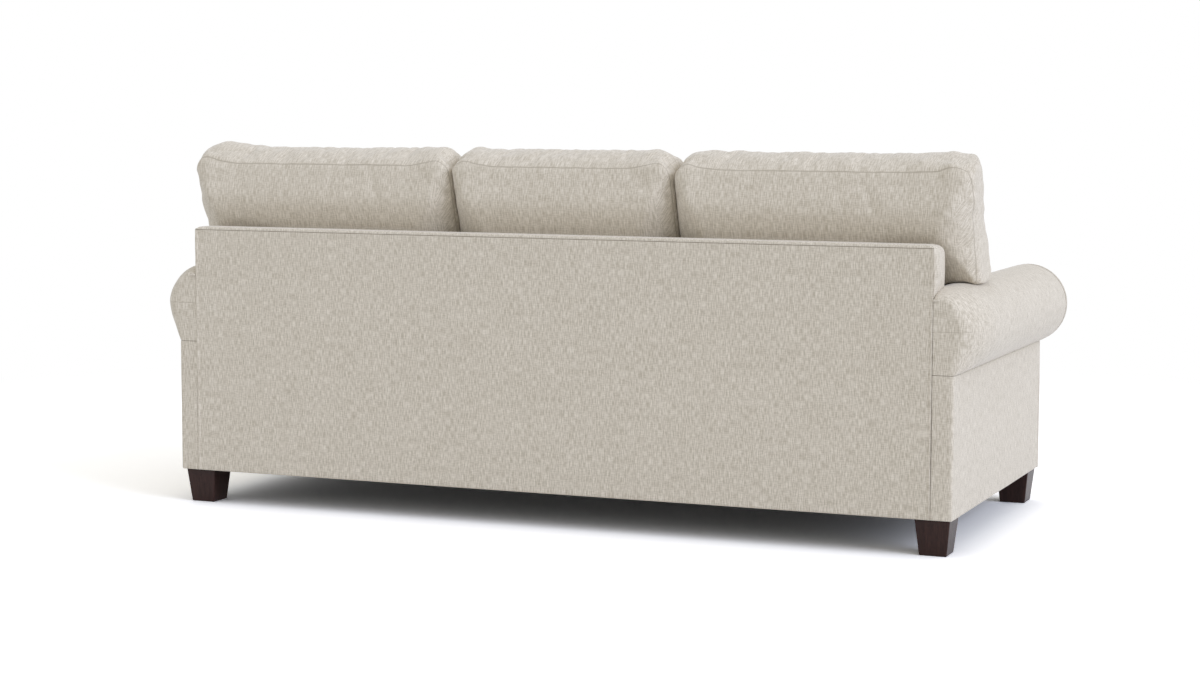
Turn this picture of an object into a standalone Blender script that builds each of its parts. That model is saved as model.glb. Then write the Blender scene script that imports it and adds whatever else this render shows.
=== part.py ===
"""A rolled arm sofa with three loose seat cushions and three loose back cushions.

Units are metres. X runs along the sofa, -Y is its front and +Z is up. The origin is on the floor, below
the middle of the sofa. Left and right are as seen from the front, so left is -X.
"""

import math

import bmesh
import bpy
from mathutils import Matrix, Vector

# Overall sizes
SOFA_DEPTH = 0.943
SEAT_WIDTH = 1.829
SEAT_COUNT = 3
DECK_HEIGHT = 0.335

# The arm: a flat outer panel with a roll that overhangs it
ARM_WIDTH = 0.1405
ARM_HEIGHT = 0.6395
ROLL_RADIUS = 0.1055

# The back: upright above its knee and pitched forward below it
BACK_HEIGHT = 0.740
BACK_THICKNESS = 0.104
BACK_CORNER_RADIUS = 0.050
BACK_END_INSET = 0.053
BACK_KNEE_DROP = 0.030
BACK_PITCH_RUN = 0.120

# Legs, and what bolts them on
LEG_HEIGHT = 0.089
LEG_TOP_WIDTH = 0.0867
LEG_BOTTOM_WIDTH = 0.0673
LEG_EDGE = 0.002
LEG_SIDE_INSET = 0.008
LEG_FRONT_INSET = 0.008
LEG_REAR_INSET = 0.014
BOLT_RADIUS = 0.004
BOLT_CHAMFER = 0.001
BOLT_IN_LEG = 0.045
BOLT_SHORTFALL = 0.004
BLOCK_HEIGHT = 0.038
BLOCK_LENGTH = 0.105

# Covers
ARM_PADDING = 0.018
PANEL = 0.004
FACING = 0.016
FACING_EDGE = 0.004
INSIDE_BACK = 0.008
FRONT_BORDER = 0.012
FRONT_BORDER_INSET = 0.020
FRONT_BORDER_EDGE = 0.003
DUST_COVER = 0.0015

# Frame boards
BOARD = 0.025
TOP_BOARD_HALF_WIDTH = 0.050
TOP_BOARD_UNDERSIDE = 0.045
TUCK_RAIL = 0.020
TUCK_RAIL_HEIGHT = 0.060
TUCK_RAIL_RISE = 0.012
STRETCHER_DROP = 0.030

# Springs and the deck on them
DECK_THICKNESS = 0.025
SPRING_WIRE = 0.0038
SPRING_WIDTH = 0.050
SPRING_PITCH = 0.088
SPRINGS_PER_SEAT = 3

# Loose cushions
SEAT_CUSHION_HEIGHT = 0.142
SEAT_CUSHION_SETBACK = 0.012
SEAT_CROWN = 0.016
SEAT_CROWN_REACH = 0.085
SEAT_CUSHION_BULGE = 0.005
BACK_CUSHION_THICKNESS = 0.140
BACK_CUSHION_SEAM_HEIGHT = 0.907
BACK_CUSHION_SEAM_RUN = 0.105
BACK_CUSHION_RECLINE = math.radians(18)
BACK_FRONT_CROWN = 0.045
BACK_REAR_CROWN = 0.050
BACK_CROWN_REACH = 0.210
BACK_CUSHION_BULGE = 0.008
EAR_OVERHANG = 0.012
SEAM_LOOP = 0.035
CORNER_DRAW = 0.010
SIDE_DRAW = 0.003
TOP_SAG = 0.007
CUSHION_CLEARANCE = 0.0015
BULGE_SHARE = 0.75  # what smoothing leaves of a bulge
BACK_LOOP_SHARES = (0.27, 0.5, 0.73)
EDGE_SHARE = 0.001  # how near the end of the cage counts as the end

# The gap between pieces that touch, how far a cutter passes what it cuts, and what counts as one point
FIT = 0.0003
OVERRUN = 0.010
MERGE = 0.0001

# Planes and heights that follow
FRONT_Y = -SOFA_DEPTH / 2
REAR_Y = SOFA_DEPTH / 2
INNER_X = SEAT_WIDTH / 2
OUTER_X = INNER_X + ARM_WIDTH
ROLL_X = INNER_X + ROLL_RADIUS
ROLL_Z = ARM_HEIGHT - ROLL_RADIUS
BACK_HALF_WIDTH = OUTER_X - BACK_END_INSET
BACK_KNEE = ARM_HEIGHT - BACK_KNEE_DROP
BACK_CORNER = min(BACK_CORNER_RADIUS, BACK_HEIGHT - ARM_HEIGHT)
ARC_STEPS = 30
BOARD_RADIUS = (ROLL_RADIUS - ARM_PADDING) * math.cos(math.pi / ARC_STEPS) - FIT
CREASE_HEM = ROLL_X + (OUTER_X - ROLL_X) * BOARD_RADIUS / ROLL_RADIUS
BOARD_OUT = min(OUTER_X - PANEL - FIT, CREASE_HEM - ARM_PADDING * math.sin(math.pi / ARC_STEPS))
RAIL_TOP = DECK_HEIGHT - DECK_THICKNESS - SPRING_WIRE - 2 * FIT
FRAME_BOTTOM = LEG_HEIGHT + DUST_COVER + FIT
BLOCK_TOP = FRAME_BOTTOM + BLOCK_HEIGHT
SIDE_RAIL_IN = INNER_X + ARM_PADDING + FIT
SIDE_RAIL_OUT = SIDE_RAIL_IN + BOARD
POST_OUT = BACK_HALF_WIDTH - PANEL - FIT
POST_RUN = BACK_THICKNESS - INSIDE_BACK - TUCK_RAIL - 2 * FIT
FRONT_RAIL_FRONT = FRONT_Y + FRONT_BORDER_INSET + FRONT_BORDER + FIT
REAR_RAIL_FRONT = REAR_Y - PANEL - FIT - BOARD
BOARD_FRONT = FRONT_Y + FACING + FIT
TOP_RAIL_TOP = BACK_HEIGHT - INSIDE_BACK - FIT
POST_TOP = TOP_RAIL_TOP - BOARD - FIT
CUSHION_WIDTH = SEAT_WIDTH / SEAT_COUNT
PITCH = BACK_PITCH_RUN / (BACK_KNEE - DECK_HEIGHT)
SEAT_CUSHION_BOTTOM = DECK_HEIGHT + FIT
BACK_CUSHION_BOTTOM = SEAT_CUSHION_BOTTOM + SEAT_CUSHION_HEIGHT + SEAT_CROWN + FIT
EAR_BOTTOM = ARM_HEIGHT + FIT

CORNER_STEPS = 6
BOLT_STEPS = 12

SIDES = {"left": -1, "right": 1}
IN_XZ = (math.radians(90), 0, 0)
IN_YZ = (math.radians(90), 0, math.radians(90))


def add_collection(name):
    collection = bpy.data.collections.new(name)
    bpy.context.scene.collection.children.link(collection)
    return collection


def add_material(name, color, roughness, metallic=0.0):
    material = bpy.data.materials.new(name)
    material.use_nodes = True
    shader = material.node_tree.nodes["Principled BSDF"]
    shader.inputs["Base Color"].default_value = (*color, 1.0)
    shader.inputs["Roughness"].default_value = roughness
    shader.inputs["Metallic"].default_value = metallic
    return material


for startup_object in list(bpy.data.objects):
    bpy.data.objects.remove(startup_object)

SOFA = add_collection("rolled_arm_sofa")
CUTTERS = add_collection("sofa_cutters")
FABRIC = add_material("oatmeal_fabric", (0.62, 0.58, 0.52), 0.95)
LEG_WOOD = add_material("espresso_wood", (0.045, 0.022, 0.018), 0.35)
FRAME_WOOD = add_material("frame_wood", (0.55, 0.40, 0.25), 0.7)
STEEL = add_material("spring_steel", (0.30, 0.30, 0.32), 0.4, 1.0)
DECK_CLOTH = add_material("deck_cloth", (0.55, 0.51, 0.45), 0.95)
DUST_CLOTH = add_material("dust_cloth", (0.02, 0.02, 0.02), 0.95)


def add_part(name, data, material, location=(0, 0, 0), turn=(0, 0, 0)):
    data.materials.append(material)
    part = bpy.data.objects.new(name, data)
    part.location = location
    part.rotation_euler = turn
    SOFA.objects.link(part)
    return part


def add_bevel(part, width, segments=1):
    bevel = part.modifiers.new("rounded_edges", "BEVEL")
    bevel.width = width
    bevel.segments = segments
    bevel.limit_method = "ANGLE"


def mesh_from(name, bm):
    mesh = bpy.data.meshes.new(name)
    bm.to_mesh(mesh)
    bm.free()
    return mesh


def box_mesh(name, size):
    bm = bmesh.new()
    bmesh.ops.create_cube(bm, size=1.0, matrix=Matrix.Diagonal((*size, 1.0)))
    return mesh_from(name, bm)


def add_board(name, low, high, material, edge=0.0):
    """A box between two corners."""
    low = Vector(low)
    high = Vector(high)
    part = add_part(name, box_mesh(name, high - low), material, (low + high) / 2)
    if edge:
        add_bevel(part, edge)
    return part


def add_outline(name, points, thickness, turn, location, material, edge=0.0):
    """A flat outline with a thickness, half of it to each side of its plane."""
    curve = bpy.data.curves.new(name, "CURVE")
    curve.dimensions = "2D"
    curve.fill_mode = "BOTH"
    curve.extrude = thickness / 2
    spline = curve.splines.new("POLY")
    spline.points.add(len(points) - 1)
    for point, (across, up) in zip(spline.points, points):
        point.co = (across, up, 0, 1)
    spline.use_cyclic_u = True
    part = add_part(name, curve, material, location, turn)
    if edge:
        weld = part.modifiers.new("weld_caps", "WELD")
        weld.merge_threshold = MERGE
        add_bevel(part, edge)
    return part


def add_cutter(name, data, location):
    cutter = bpy.data.objects.new(name, data)
    cutter.location = location
    cutter.hide_render = True
    cutter.display_type = "WIRE"
    CUTTERS.objects.link(cutter)
    return cutter


def add_box_cutter(name, low, high):
    low = Vector(low)
    high = Vector(high)
    return add_cutter(name, box_mesh(name, high - low), (low + high) / 2)


def cut(part, cutter):
    boolean = part.modifiers.new(cutter.name, "BOOLEAN")
    boolean.operation = "DIFFERENCE"
    boolean.object = cutter


def mirrored(points, side):
    """The same outline on the left or the right of the sofa."""
    return [(side * across, up) for across, up in points]


def span(side, inner, outer):
    """The two ends, low first, of what lies between two distances from the sofa's middle plane."""
    return sorted((side * inner, side * outer))


def arm_outline(radius, inner, outer, bottom):
    """The arm seen from the front: up the outer panel, round the roll and down the inside."""
    start = -math.acos((outer - ROLL_X) / radius)
    end = math.acos(max(-1.0, (inner - ROLL_X) / radius))
    points = [(outer, bottom)]
    for step in range(ARC_STEPS + 1):
        angle = start + (end - start) * step / ARC_STEPS
        points.append((ROLL_X + radius * math.cos(angle), ROLL_Z + radius * math.sin(angle)))
    points.append((inner, bottom))
    return points


def inside_back_run(height):
    """How far in front of the rear plane the face of the inside back is, at a height."""
    return BACK_THICKNESS + PITCH * max(0.0, BACK_KNEE - height)


def back_corner():
    """Points down the rounded top front corner of the back."""
    points = []
    for step in range(CORNER_STEPS + 1):
        angle = math.radians(90) * (1 - step / CORNER_STEPS)
        run = BACK_THICKNESS - BACK_CORNER * (1 - math.cos(angle))
        height = BACK_HEIGHT - BACK_CORNER * (1 - math.sin(angle))
        points.append((REAR_Y - run, height))
    return points


def add_legs():
    """Four tapered legs, the bolts in them and the blocks that the bolts screw into."""
    for side_name, side in SIDES.items():
        leg_x = side * (OUTER_X - LEG_SIDE_INSET - LEG_TOP_WIDTH / 2)
        block_front = BOARD_FRONT
        block_rear = REAR_Y - FACING - FIT - BLOCK_LENGTH
        places = {
            "front": (FRONT_Y + LEG_FRONT_INSET + LEG_TOP_WIDTH / 2, block_front),
            "rear": (REAR_Y - LEG_REAR_INSET - LEG_TOP_WIDTH / 2, block_rear),
        }
        for end_name, (leg_y, block_low) in places.items():
            name = f"{side_name}_{end_name}"
            add_leg(name, leg_x, leg_y)
            inner, outer = span(side, SIDE_RAIL_OUT + FIT, OUTER_X - PANEL - FIT)
            block = add_board(
                f"{name}_corner_block",
                (inner, block_low, FRAME_BOTTOM),
                (outer, block_low + BLOCK_LENGTH, BLOCK_TOP),
                FRAME_WOOD,
            )
            cut(block, bpy.data.objects[f"{name}_bolt_hole"])


def add_leg(name, leg_x, leg_y):
    height = LEG_HEIGHT - FIT
    bm = bmesh.new()
    bmesh.ops.create_cone(
        bm,
        cap_ends=True,
        segments=4,
        radius1=LEG_BOTTOM_WIDTH / math.sqrt(2),
        radius2=LEG_TOP_WIDTH / math.sqrt(2),
        depth=height,
        matrix=Matrix.Rotation(math.radians(45), 4, "Z"),
    )
    leg = add_part(f"{name}_leg", mesh_from(f"{name}_leg", bm), LEG_WOOD, (leg_x, leg_y, height / 2))
    add_bevel(leg, LEG_EDGE)

    bolt_low = height - BOLT_IN_LEG
    bolt_high = BLOCK_TOP - BOLT_SHORTFALL
    hole_low = bolt_low - FIT
    hole_high = BLOCK_TOP + OVERRUN
    bm = bmesh.new()
    bmesh.ops.create_cone(
        bm,
        cap_ends=True,
        segments=BOLT_STEPS,
        radius1=BOLT_RADIUS + FIT,
        radius2=BOLT_RADIUS + FIT,
        depth=hole_high - hole_low,
    )
    hole = add_cutter(f"{name}_bolt_hole", mesh_from(name, bm), (leg_x, leg_y, (hole_low + hole_high) / 2))
    cut(leg, hole)

    rim = BOLT_RADIUS - BOLT_CHAMFER
    profile = [
        (0, bolt_high),
        (rim, bolt_high),
        (BOLT_RADIUS, bolt_high - BOLT_CHAMFER),
        (BOLT_RADIUS, bolt_low + BOLT_CHAMFER),
        (rim, bolt_low),
        (0, bolt_low),
    ]
    bm = bmesh.new()
    rings = [bm.verts.new((across, 0, up)) for across, up in profile]
    for upper, lower in zip(rings, rings[1:]):
        bm.edges.new((upper, lower))
    bolt = add_part(f"{name}_leg_bolt", mesh_from(f"{name}_leg_bolt", bm), STEEL, (leg_x, leg_y, 0))
    screw = bolt.modifiers.new("turn", "SCREW")
    screw.steps = BOLT_STEPS
    screw.render_steps = BOLT_STEPS
    screw.use_merge_vertices = True
    screw.merge_threshold = MERGE


def add_seat_frame():
    rail_end = SIDE_RAIL_IN - FIT
    add_board(
        "front_rail",
        (-rail_end, FRONT_RAIL_FRONT, FRAME_BOTTOM),
        (rail_end, FRONT_RAIL_FRONT + BOARD, RAIL_TOP),
        FRAME_WOOD,
    )
    add_board(
        "rear_rail",
        (-SIDE_RAIL_OUT, REAR_RAIL_FRONT, FRAME_BOTTOM),
        (SIDE_RAIL_OUT, REAR_RAIL_FRONT + BOARD, RAIL_TOP),
        FRAME_WOOD,
    )
    for side_name, side in SIDES.items():
        inner, outer = span(side, SIDE_RAIL_IN, SIDE_RAIL_OUT)
        add_board(
            f"{side_name}_side_rail",
            (inner, BOARD_FRONT + BOARD + FIT, FRAME_BOTTOM),
            (outer, REAR_RAIL_FRONT - FIT, RAIL_TOP),
            FRAME_WOOD,
        )
        middle = side * CUSHION_WIDTH / 2
        add_board(
            f"{side_name}_seat_stretcher",
            (middle - BOARD / 2, FRONT_RAIL_FRONT + BOARD + FIT, FRAME_BOTTOM),
            (middle + BOARD / 2, REAR_RAIL_FRONT - FIT, RAIL_TOP - STRETCHER_DROP),
            FRAME_WOOD,
        )


def add_arm_frame(side_name, side):
    """The two scroll boards of an arm and the board between them, under the top of the roll."""
    stand = BLOCK_TOP + FIT
    front = mirrored(arm_outline(BOARD_RADIUS, ROLL_X - BOARD_RADIUS, BOARD_OUT, stand), side)
    add_outline(
        f"{side_name}_arm_front_board", front, BOARD, IN_XZ, (0, BOARD_FRONT + BOARD / 2, 0), FRAME_WOOD
    )
    rear = mirrored(arm_outline(BOARD_RADIUS, POST_OUT + FIT, BOARD_OUT, stand), side)
    rear_board_y = REAR_Y - FACING - FIT - BOARD / 2
    add_outline(f"{side_name}_arm_rear_board", rear, BOARD, IN_XZ, (0, rear_board_y, 0), FRAME_WOOD)
    low, high = span(side, ROLL_X - TOP_BOARD_HALF_WIDTH, ROLL_X + TOP_BOARD_HALF_WIDTH)
    underside = ROLL_Z + TOP_BOARD_UNDERSIDE
    add_board(
        f"{side_name}_arm_top_board",
        (low, BOARD_FRONT + BOARD + FIT, underside),
        (high, REAR_Y - POST_RUN - FIT, underside + BOARD),
        FRAME_WOOD,
    )


def add_arm_covers(side_name, side):
    back_notch = add_box_cutter(
        f"{side_name}_back_notch",
        (span(side, 0, BACK_HALF_WIDTH + FIT)[0], REAR_Y - BACK_THICKNESS - FIT, 0),
        (span(side, 0, BACK_HALF_WIDTH + FIT)[1], REAR_Y + OVERRUN, BACK_HEIGHT),
    )
    profile = arm_outline(ROLL_RADIUS, INNER_X, OUTER_X, RAIL_TOP + FIT)[1:]
    bm = bmesh.new()
    chain = [bm.verts.new((side * across, FRONT_Y + FACING + FIT, up)) for across, up in profile]
    edges = [bm.edges.new(pair) for pair in zip(chain, chain[1:])]
    swept = bmesh.ops.extrude_edge_only(bm, edges=edges)["geom"]
    length = SOFA_DEPTH - 2 * (FACING + FIT)
    moved = [item for item in swept if isinstance(item, bmesh.types.BMVert)]
    bmesh.ops.translate(bm, verts=moved, vec=(0, length, 0))
    bm.normal_update()
    outward = [face for face in bm.faces if face.normal.dot(from_roll_axis(face, side)) > 0]
    if len(outward) < len(bm.faces) / 2:
        bmesh.ops.reverse_faces(bm, faces=bm.faces)
    cover = add_part(f"{side_name}_arm_cover", mesh_from(f"{side_name}_arm_cover", bm), FABRIC)
    wall = cover.modifiers.new("padding", "SOLIDIFY")
    wall.thickness = ARM_PADDING
    wall.offset = -1
    wall.use_even_offset = True
    cut(cover, back_notch)

    crease = ROLL_Z - math.sqrt(ROLL_RADIUS**2 - (OUTER_X - ROLL_X) ** 2)
    low, high = span(side, OUTER_X - PANEL, OUTER_X)
    add_board(
        f"{side_name}_outside_arm",
        (low, FRONT_Y + FACING + FIT, LEG_HEIGHT),
        (high, REAR_Y - FACING - FIT, crease - FIT),
        FABRIC,
    )
    front = mirrored(arm_outline(ROLL_RADIUS, INNER_X, OUTER_X, LEG_HEIGHT), side)
    front_y = FRONT_Y + FACING / 2
    add_outline(
        f"{side_name}_arm_front_facing", front, FACING, IN_XZ, (0, front_y, 0), FABRIC, FACING_EDGE
    )
    rear = mirrored(arm_outline(ROLL_RADIUS, BACK_HALF_WIDTH + FIT, OUTER_X, LEG_HEIGHT), side)
    rear_y = REAR_Y - FACING / 2
    add_outline(f"{side_name}_arm_rear_facing", rear, FACING, IN_XZ, (0, rear_y, 0), FABRIC, FACING_EDGE)


def from_roll_axis(face, side):
    """The direction from the middle line of the roll to a face of the arm cover."""
    centre = face.calc_center_median()
    return Vector((centre.x - side * ROLL_X, 0, centre.z - ROLL_Z))


def add_back_frame():
    add_board(
        "back_top_rail",
        (-POST_OUT, REAR_Y - BACK_THICKNESS + BACK_CORNER, POST_TOP + FIT),
        (POST_OUT, REAR_Y - PANEL - FIT, TOP_RAIL_TOP),
        FRAME_WOOD,
    )
    slope = math.atan(PITCH)
    panel_along = (INSIDE_BACK + FIT) / math.cos(slope)
    rail_along = (TUCK_RAIL + FIT) / math.cos(slope)
    tuck_middle = RAIL_TOP + SPRING_WIRE + TUCK_RAIL_RISE + TUCK_RAIL_HEIGHT / 2
    tuck_run = inside_back_run(tuck_middle) - panel_along - TUCK_RAIL / 2 / math.cos(slope)
    tuck_size = (2 * (INNER_X - FIT), TUCK_RAIL, TUCK_RAIL_HEIGHT)
    add_part(
        "back_tuck_rail",
        box_mesh("back_tuck_rail", tuck_size),
        FRAME_WOOD,
        (0, REAR_Y - tuck_run, tuck_middle),
        (-slope, 0, 0),
    )
    foot = RAIL_TOP + FIT
    middle_post = [
        (REAR_Y - PANEL - FIT, foot),
        (REAR_Y - PANEL - FIT, POST_TOP),
        (REAR_Y - POST_RUN, POST_TOP),
        (REAR_Y - inside_back_run(BACK_KNEE) + panel_along + rail_along, BACK_KNEE),
        (REAR_Y - inside_back_run(foot) + panel_along + rail_along, foot),
    ]
    for side_name, side in SIDES.items():
        middle = side * CUSHION_WIDTH / 2
        add_outline(
            f"{side_name}_back_middle_post", middle_post, BOARD, IN_YZ, (middle, 0, 0), FRAME_WOOD
        )
        low, high = span(side, POST_OUT - BOARD, POST_OUT)
        add_board(
            f"{side_name}_back_end_post",
            (low, REAR_Y - POST_RUN, BLOCK_TOP + FIT),
            (high, REAR_Y - PANEL - FIT, POST_TOP),
            FRAME_WOOD,
        )


def add_back_covers():
    add_board(
        "outside_back",
        (-BACK_HALF_WIDTH, REAR_Y - PANEL, LEG_HEIGHT),
        (BACK_HALF_WIDTH, REAR_Y, BACK_HEIGHT - INSIDE_BACK - FIT),
        FABRIC,
    )
    for side_name, side in SIDES.items():
        end_outline = [
            (REAR_Y - PANEL - FIT, ROLL_Z + BOARD_RADIUS + FIT),
            (REAR_Y - PANEL - FIT, BACK_HEIGHT),
            *back_corner(),
            (REAR_Y - BACK_THICKNESS, ROLL_Z + BOARD_RADIUS + FIT),
        ]
        end_x = side * (BACK_HALF_WIDTH - PANEL / 2)
        add_outline(f"{side_name}_back_end", end_outline, PANEL, IN_YZ, (end_x, 0, 0), FABRIC)

    hem = DECK_HEIGHT - DECK_THICKNESS + INSIDE_BACK
    face_line = [
        (REAR_Y, BACK_HEIGHT),
        *back_corner(),
        (REAR_Y - BACK_THICKNESS, BACK_KNEE),
        (REAR_Y - inside_back_run(hem), hem),
    ]
    bm = bmesh.new()
    chain = [bm.verts.new((-POST_OUT, along, up)) for along, up in face_line]
    edges = [bm.edges.new(pair) for pair in zip(chain, chain[1:])]
    swept = bmesh.ops.extrude_edge_only(bm, edges=edges)["geom"]
    moved = [item for item in swept if isinstance(item, bmesh.types.BMVert)]
    bmesh.ops.translate(bm, verts=moved, vec=(2 * POST_OUT, 0, 0))
    bm.normal_update()
    bm.faces.ensure_lookup_table()
    if bm.faces[0].normal.z < 0:
        bmesh.ops.reverse_faces(bm, faces=bm.faces)
    cover = add_part("inside_back", mesh_from("inside_back", bm), FABRIC)
    wall = cover.modifiers.new("padding", "SOLIDIFY")
    wall.thickness = INSIDE_BACK
    wall.offset = -1
    wall.use_even_offset = True
    for side_name, side in SIDES.items():
        low, high = span(side, INNER_X - FIT, OUTER_X)
        cut(
            cover,
            add_box_cutter(
                f"{side_name}_arm_clearance",
                (low, FRONT_Y, 0),
                (high, REAR_Y, BACK_KNEE),
            ),
        )


def add_springs():
    """Sinuous springs from the front rail to the rear rail, clipped on top of both."""
    count = SPRINGS_PER_SEAT * SEAT_COUNT
    start = FRONT_RAIL_FRONT + BOARD / 2
    end = REAR_RAIL_FRONT + BOARD / 2
    half_turns = 2 * round((end - start) / SPRING_PITCH)
    for number in range(count):
        middle = SEAT_WIDTH * ((number + 0.5) / count - 0.5)
        points = []
        for turn in range(half_turns + 1):
            along = start + (end - start) * turn / half_turns
            side = 1 if turn % 2 else -1
            points.append((middle - side * SPRING_WIDTH / 2, along))
            points.append((middle + side * SPRING_WIDTH / 2, along))
        name = f"seat_spring_{number + 1}"
        curve = bpy.data.curves.new(name, "CURVE")
        curve.dimensions = "3D"
        curve.bevel_depth = SPRING_WIRE / 2
        curve.bevel_resolution = 1
        curve.use_fill_caps = True
        spline = curve.splines.new("POLY")
        spline.points.add(len(points) - 1)
        for point, (across, along) in zip(spline.points, points):
            point.co = (across, along, 0, 1)
        add_part(name, curve, STEEL, (0, 0, RAIL_TOP + FIT + SPRING_WIRE / 2))


def add_seat_covers():
    deck_bottom = DECK_HEIGHT - DECK_THICKNESS
    add_board(
        "seat_deck",
        (-INNER_X + FIT, FRONT_RAIL_FRONT, deck_bottom),
        (INNER_X - FIT, REAR_Y - inside_back_run(deck_bottom) - FIT, DECK_HEIGHT),
        DECK_CLOTH,
    )
    add_board(
        "front_border",
        (-INNER_X + FIT, FRONT_Y + FRONT_BORDER_INSET, LEG_HEIGHT),
        (INNER_X - FIT, FRONT_Y + FRONT_BORDER_INSET + FRONT_BORDER, DECK_HEIGHT),
        FABRIC,
        FRONT_BORDER_EDGE,
    )
    edge = OUTER_X - PANEL - FIT
    dust_cover = add_board(
        "dust_cover",
        (-edge, FRONT_RAIL_FRONT, LEG_HEIGHT),
        (edge, REAR_Y - FACING - FIT, LEG_HEIGHT + DUST_COVER),
        DUST_CLOTH,
    )
    for side_name in SIDES:
        for end_name in ("front", "rear"):
            cut(dust_cover, bpy.data.objects[f"{side_name}_{end_name}_bolt_hole"])


def edge_of(share, last=1.0):
    """-1 where the cage starts, 1 where it ends and 0 between."""
    return (share > last - EDGE_SHARE) - (share < EDGE_SHARE)


def cushion_cage(across_shares, up_shares, ear_width=0.0, ear_start=0.0, ear_shares=()):
    """A unit block with loops cut into it. X and Y run over the panels and Z through the boxing.

    An ear, if it has a width, is drawn out of the +X side from the height where it starts up.
    """
    bm = bmesh.new()
    bmesh.ops.create_cube(bm, size=1.0, matrix=Matrix.Translation((0.5, 0.5, 0.5)))

    def cut_loop(place, normal):
        geometry = bm.verts[:] + bm.edges[:] + bm.faces[:]
        bmesh.ops.bisect_plane(bm, geom=geometry, plane_co=place, plane_no=normal)

    for across in across_shares:
        cut_loop((across, 0, 0), (1, 0, 0))
    for up in up_shares:
        cut_loop((0, up, 0), (0, 1, 0))
    cut_loop((0, 0, 0.5), (0, 0, 1))
    if ear_width:
        centres = {face: face.calc_center_median() for face in bm.faces}
        root = [face for face, centre in centres.items() if edge_of(centre.x) == 1 and centre.y > ear_start]
        drawn = bmesh.ops.extrude_face_region(bm, geom=root)["geom"]
        moved = [item for item in drawn if isinstance(item, bmesh.types.BMVert)]
        bmesh.ops.translate(bm, verts=moved, vec=(ear_width, 0, 0))
        bmesh.ops.delete(bm, geom=[face for face in root if face.is_valid], context="FACES")
        for across in ear_shares:
            cut_loop((across, 0, 0), (1, 0, 0))
    bmesh.ops.recalc_face_normals(bm, faces=bm.faces)
    bm.normal_update()
    return bm


def crown(distance, height, reach):
    """How far a panel stands out at a distance from its seam."""
    return height * (1 - (1 - min(1.0, max(0.0, distance) / reach)) ** 2)


def bow(share):
    """Nothing at both ends of an edge and 1 at its middle."""
    return 1 - (2 * share - 1) ** 2


def mark_seams(bm):
    """Creases the edges where a panel of the unit cage meets its boxing."""
    crease = bm.edges.layers.float.new("crease_edge")
    for edge in bm.edges:
        on_panel = [face for face in edge.link_faces if abs(face.normal.z) > 0.5]
        if len(on_panel) == 1:
            edge[crease] = 1.0


def finish_cushion(name, bm):
    """Turns the cage into a soft solid whose seams stay crisp."""
    if bm.calc_volume(signed=True) < 0:  # mirrored to the left
        bmesh.ops.reverse_faces(bm, faces=bm.faces)
    cushion = add_part(name, mesh_from(name, bm), FABRIC)
    cushion.data.shade_smooth()
    soft = cushion.modifiers.new("soft", "SUBSURF")
    soft.levels = 1
    soft.render_levels = 1


def seat_loop_shares(length):
    """Loops near both ends, where the crown levels off, and in the middle."""
    near_share = SEAM_LOOP / length
    level_share = SEAT_CROWN_REACH / length
    return [near_share, level_share, 0.5, 1 - level_share, 1 - near_share]


def add_seat_cushion(name, middle):
    proud = BULGE_SHARE * SEAT_CUSHION_BULGE
    front = FRONT_Y + SEAT_CUSHION_SETBACK + proud
    rear = REAR_Y - inside_back_run(DECK_HEIGHT) - FIT - proud
    half = CUSHION_WIDTH / 2 - CUSHION_CLEARANCE - proud
    bm = cushion_cage(seat_loop_shares(2 * half), seat_loop_shares(rear - front))
    mark_seams(bm)
    for vert in bm.verts:
        across, along, up = vert.co
        side = edge_of(across)
        end = edge_of(along)
        x = half * (2 * across - 1)
        y = front + (rear - front) * along
        z = SEAT_CUSHION_BOTTOM + SEAT_CUSHION_HEIGHT * up
        if edge_of(up) == 1:
            z += crown(min(half - abs(x), y - front, rear - y), SEAT_CROWN, SEAT_CROWN_REACH)
        bulge = 0.0 if edge_of(up) else SEAT_CUSHION_BULGE
        pull = CORNER_DRAW if side and end else 0.0
        x += side * (bulge - pull - SIDE_DRAW * bow(along))
        y += end * (bulge - pull - SIDE_DRAW * bow(across))
        vert.co = (middle + x, y, z)
    finish_cushion(name, bm)


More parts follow.
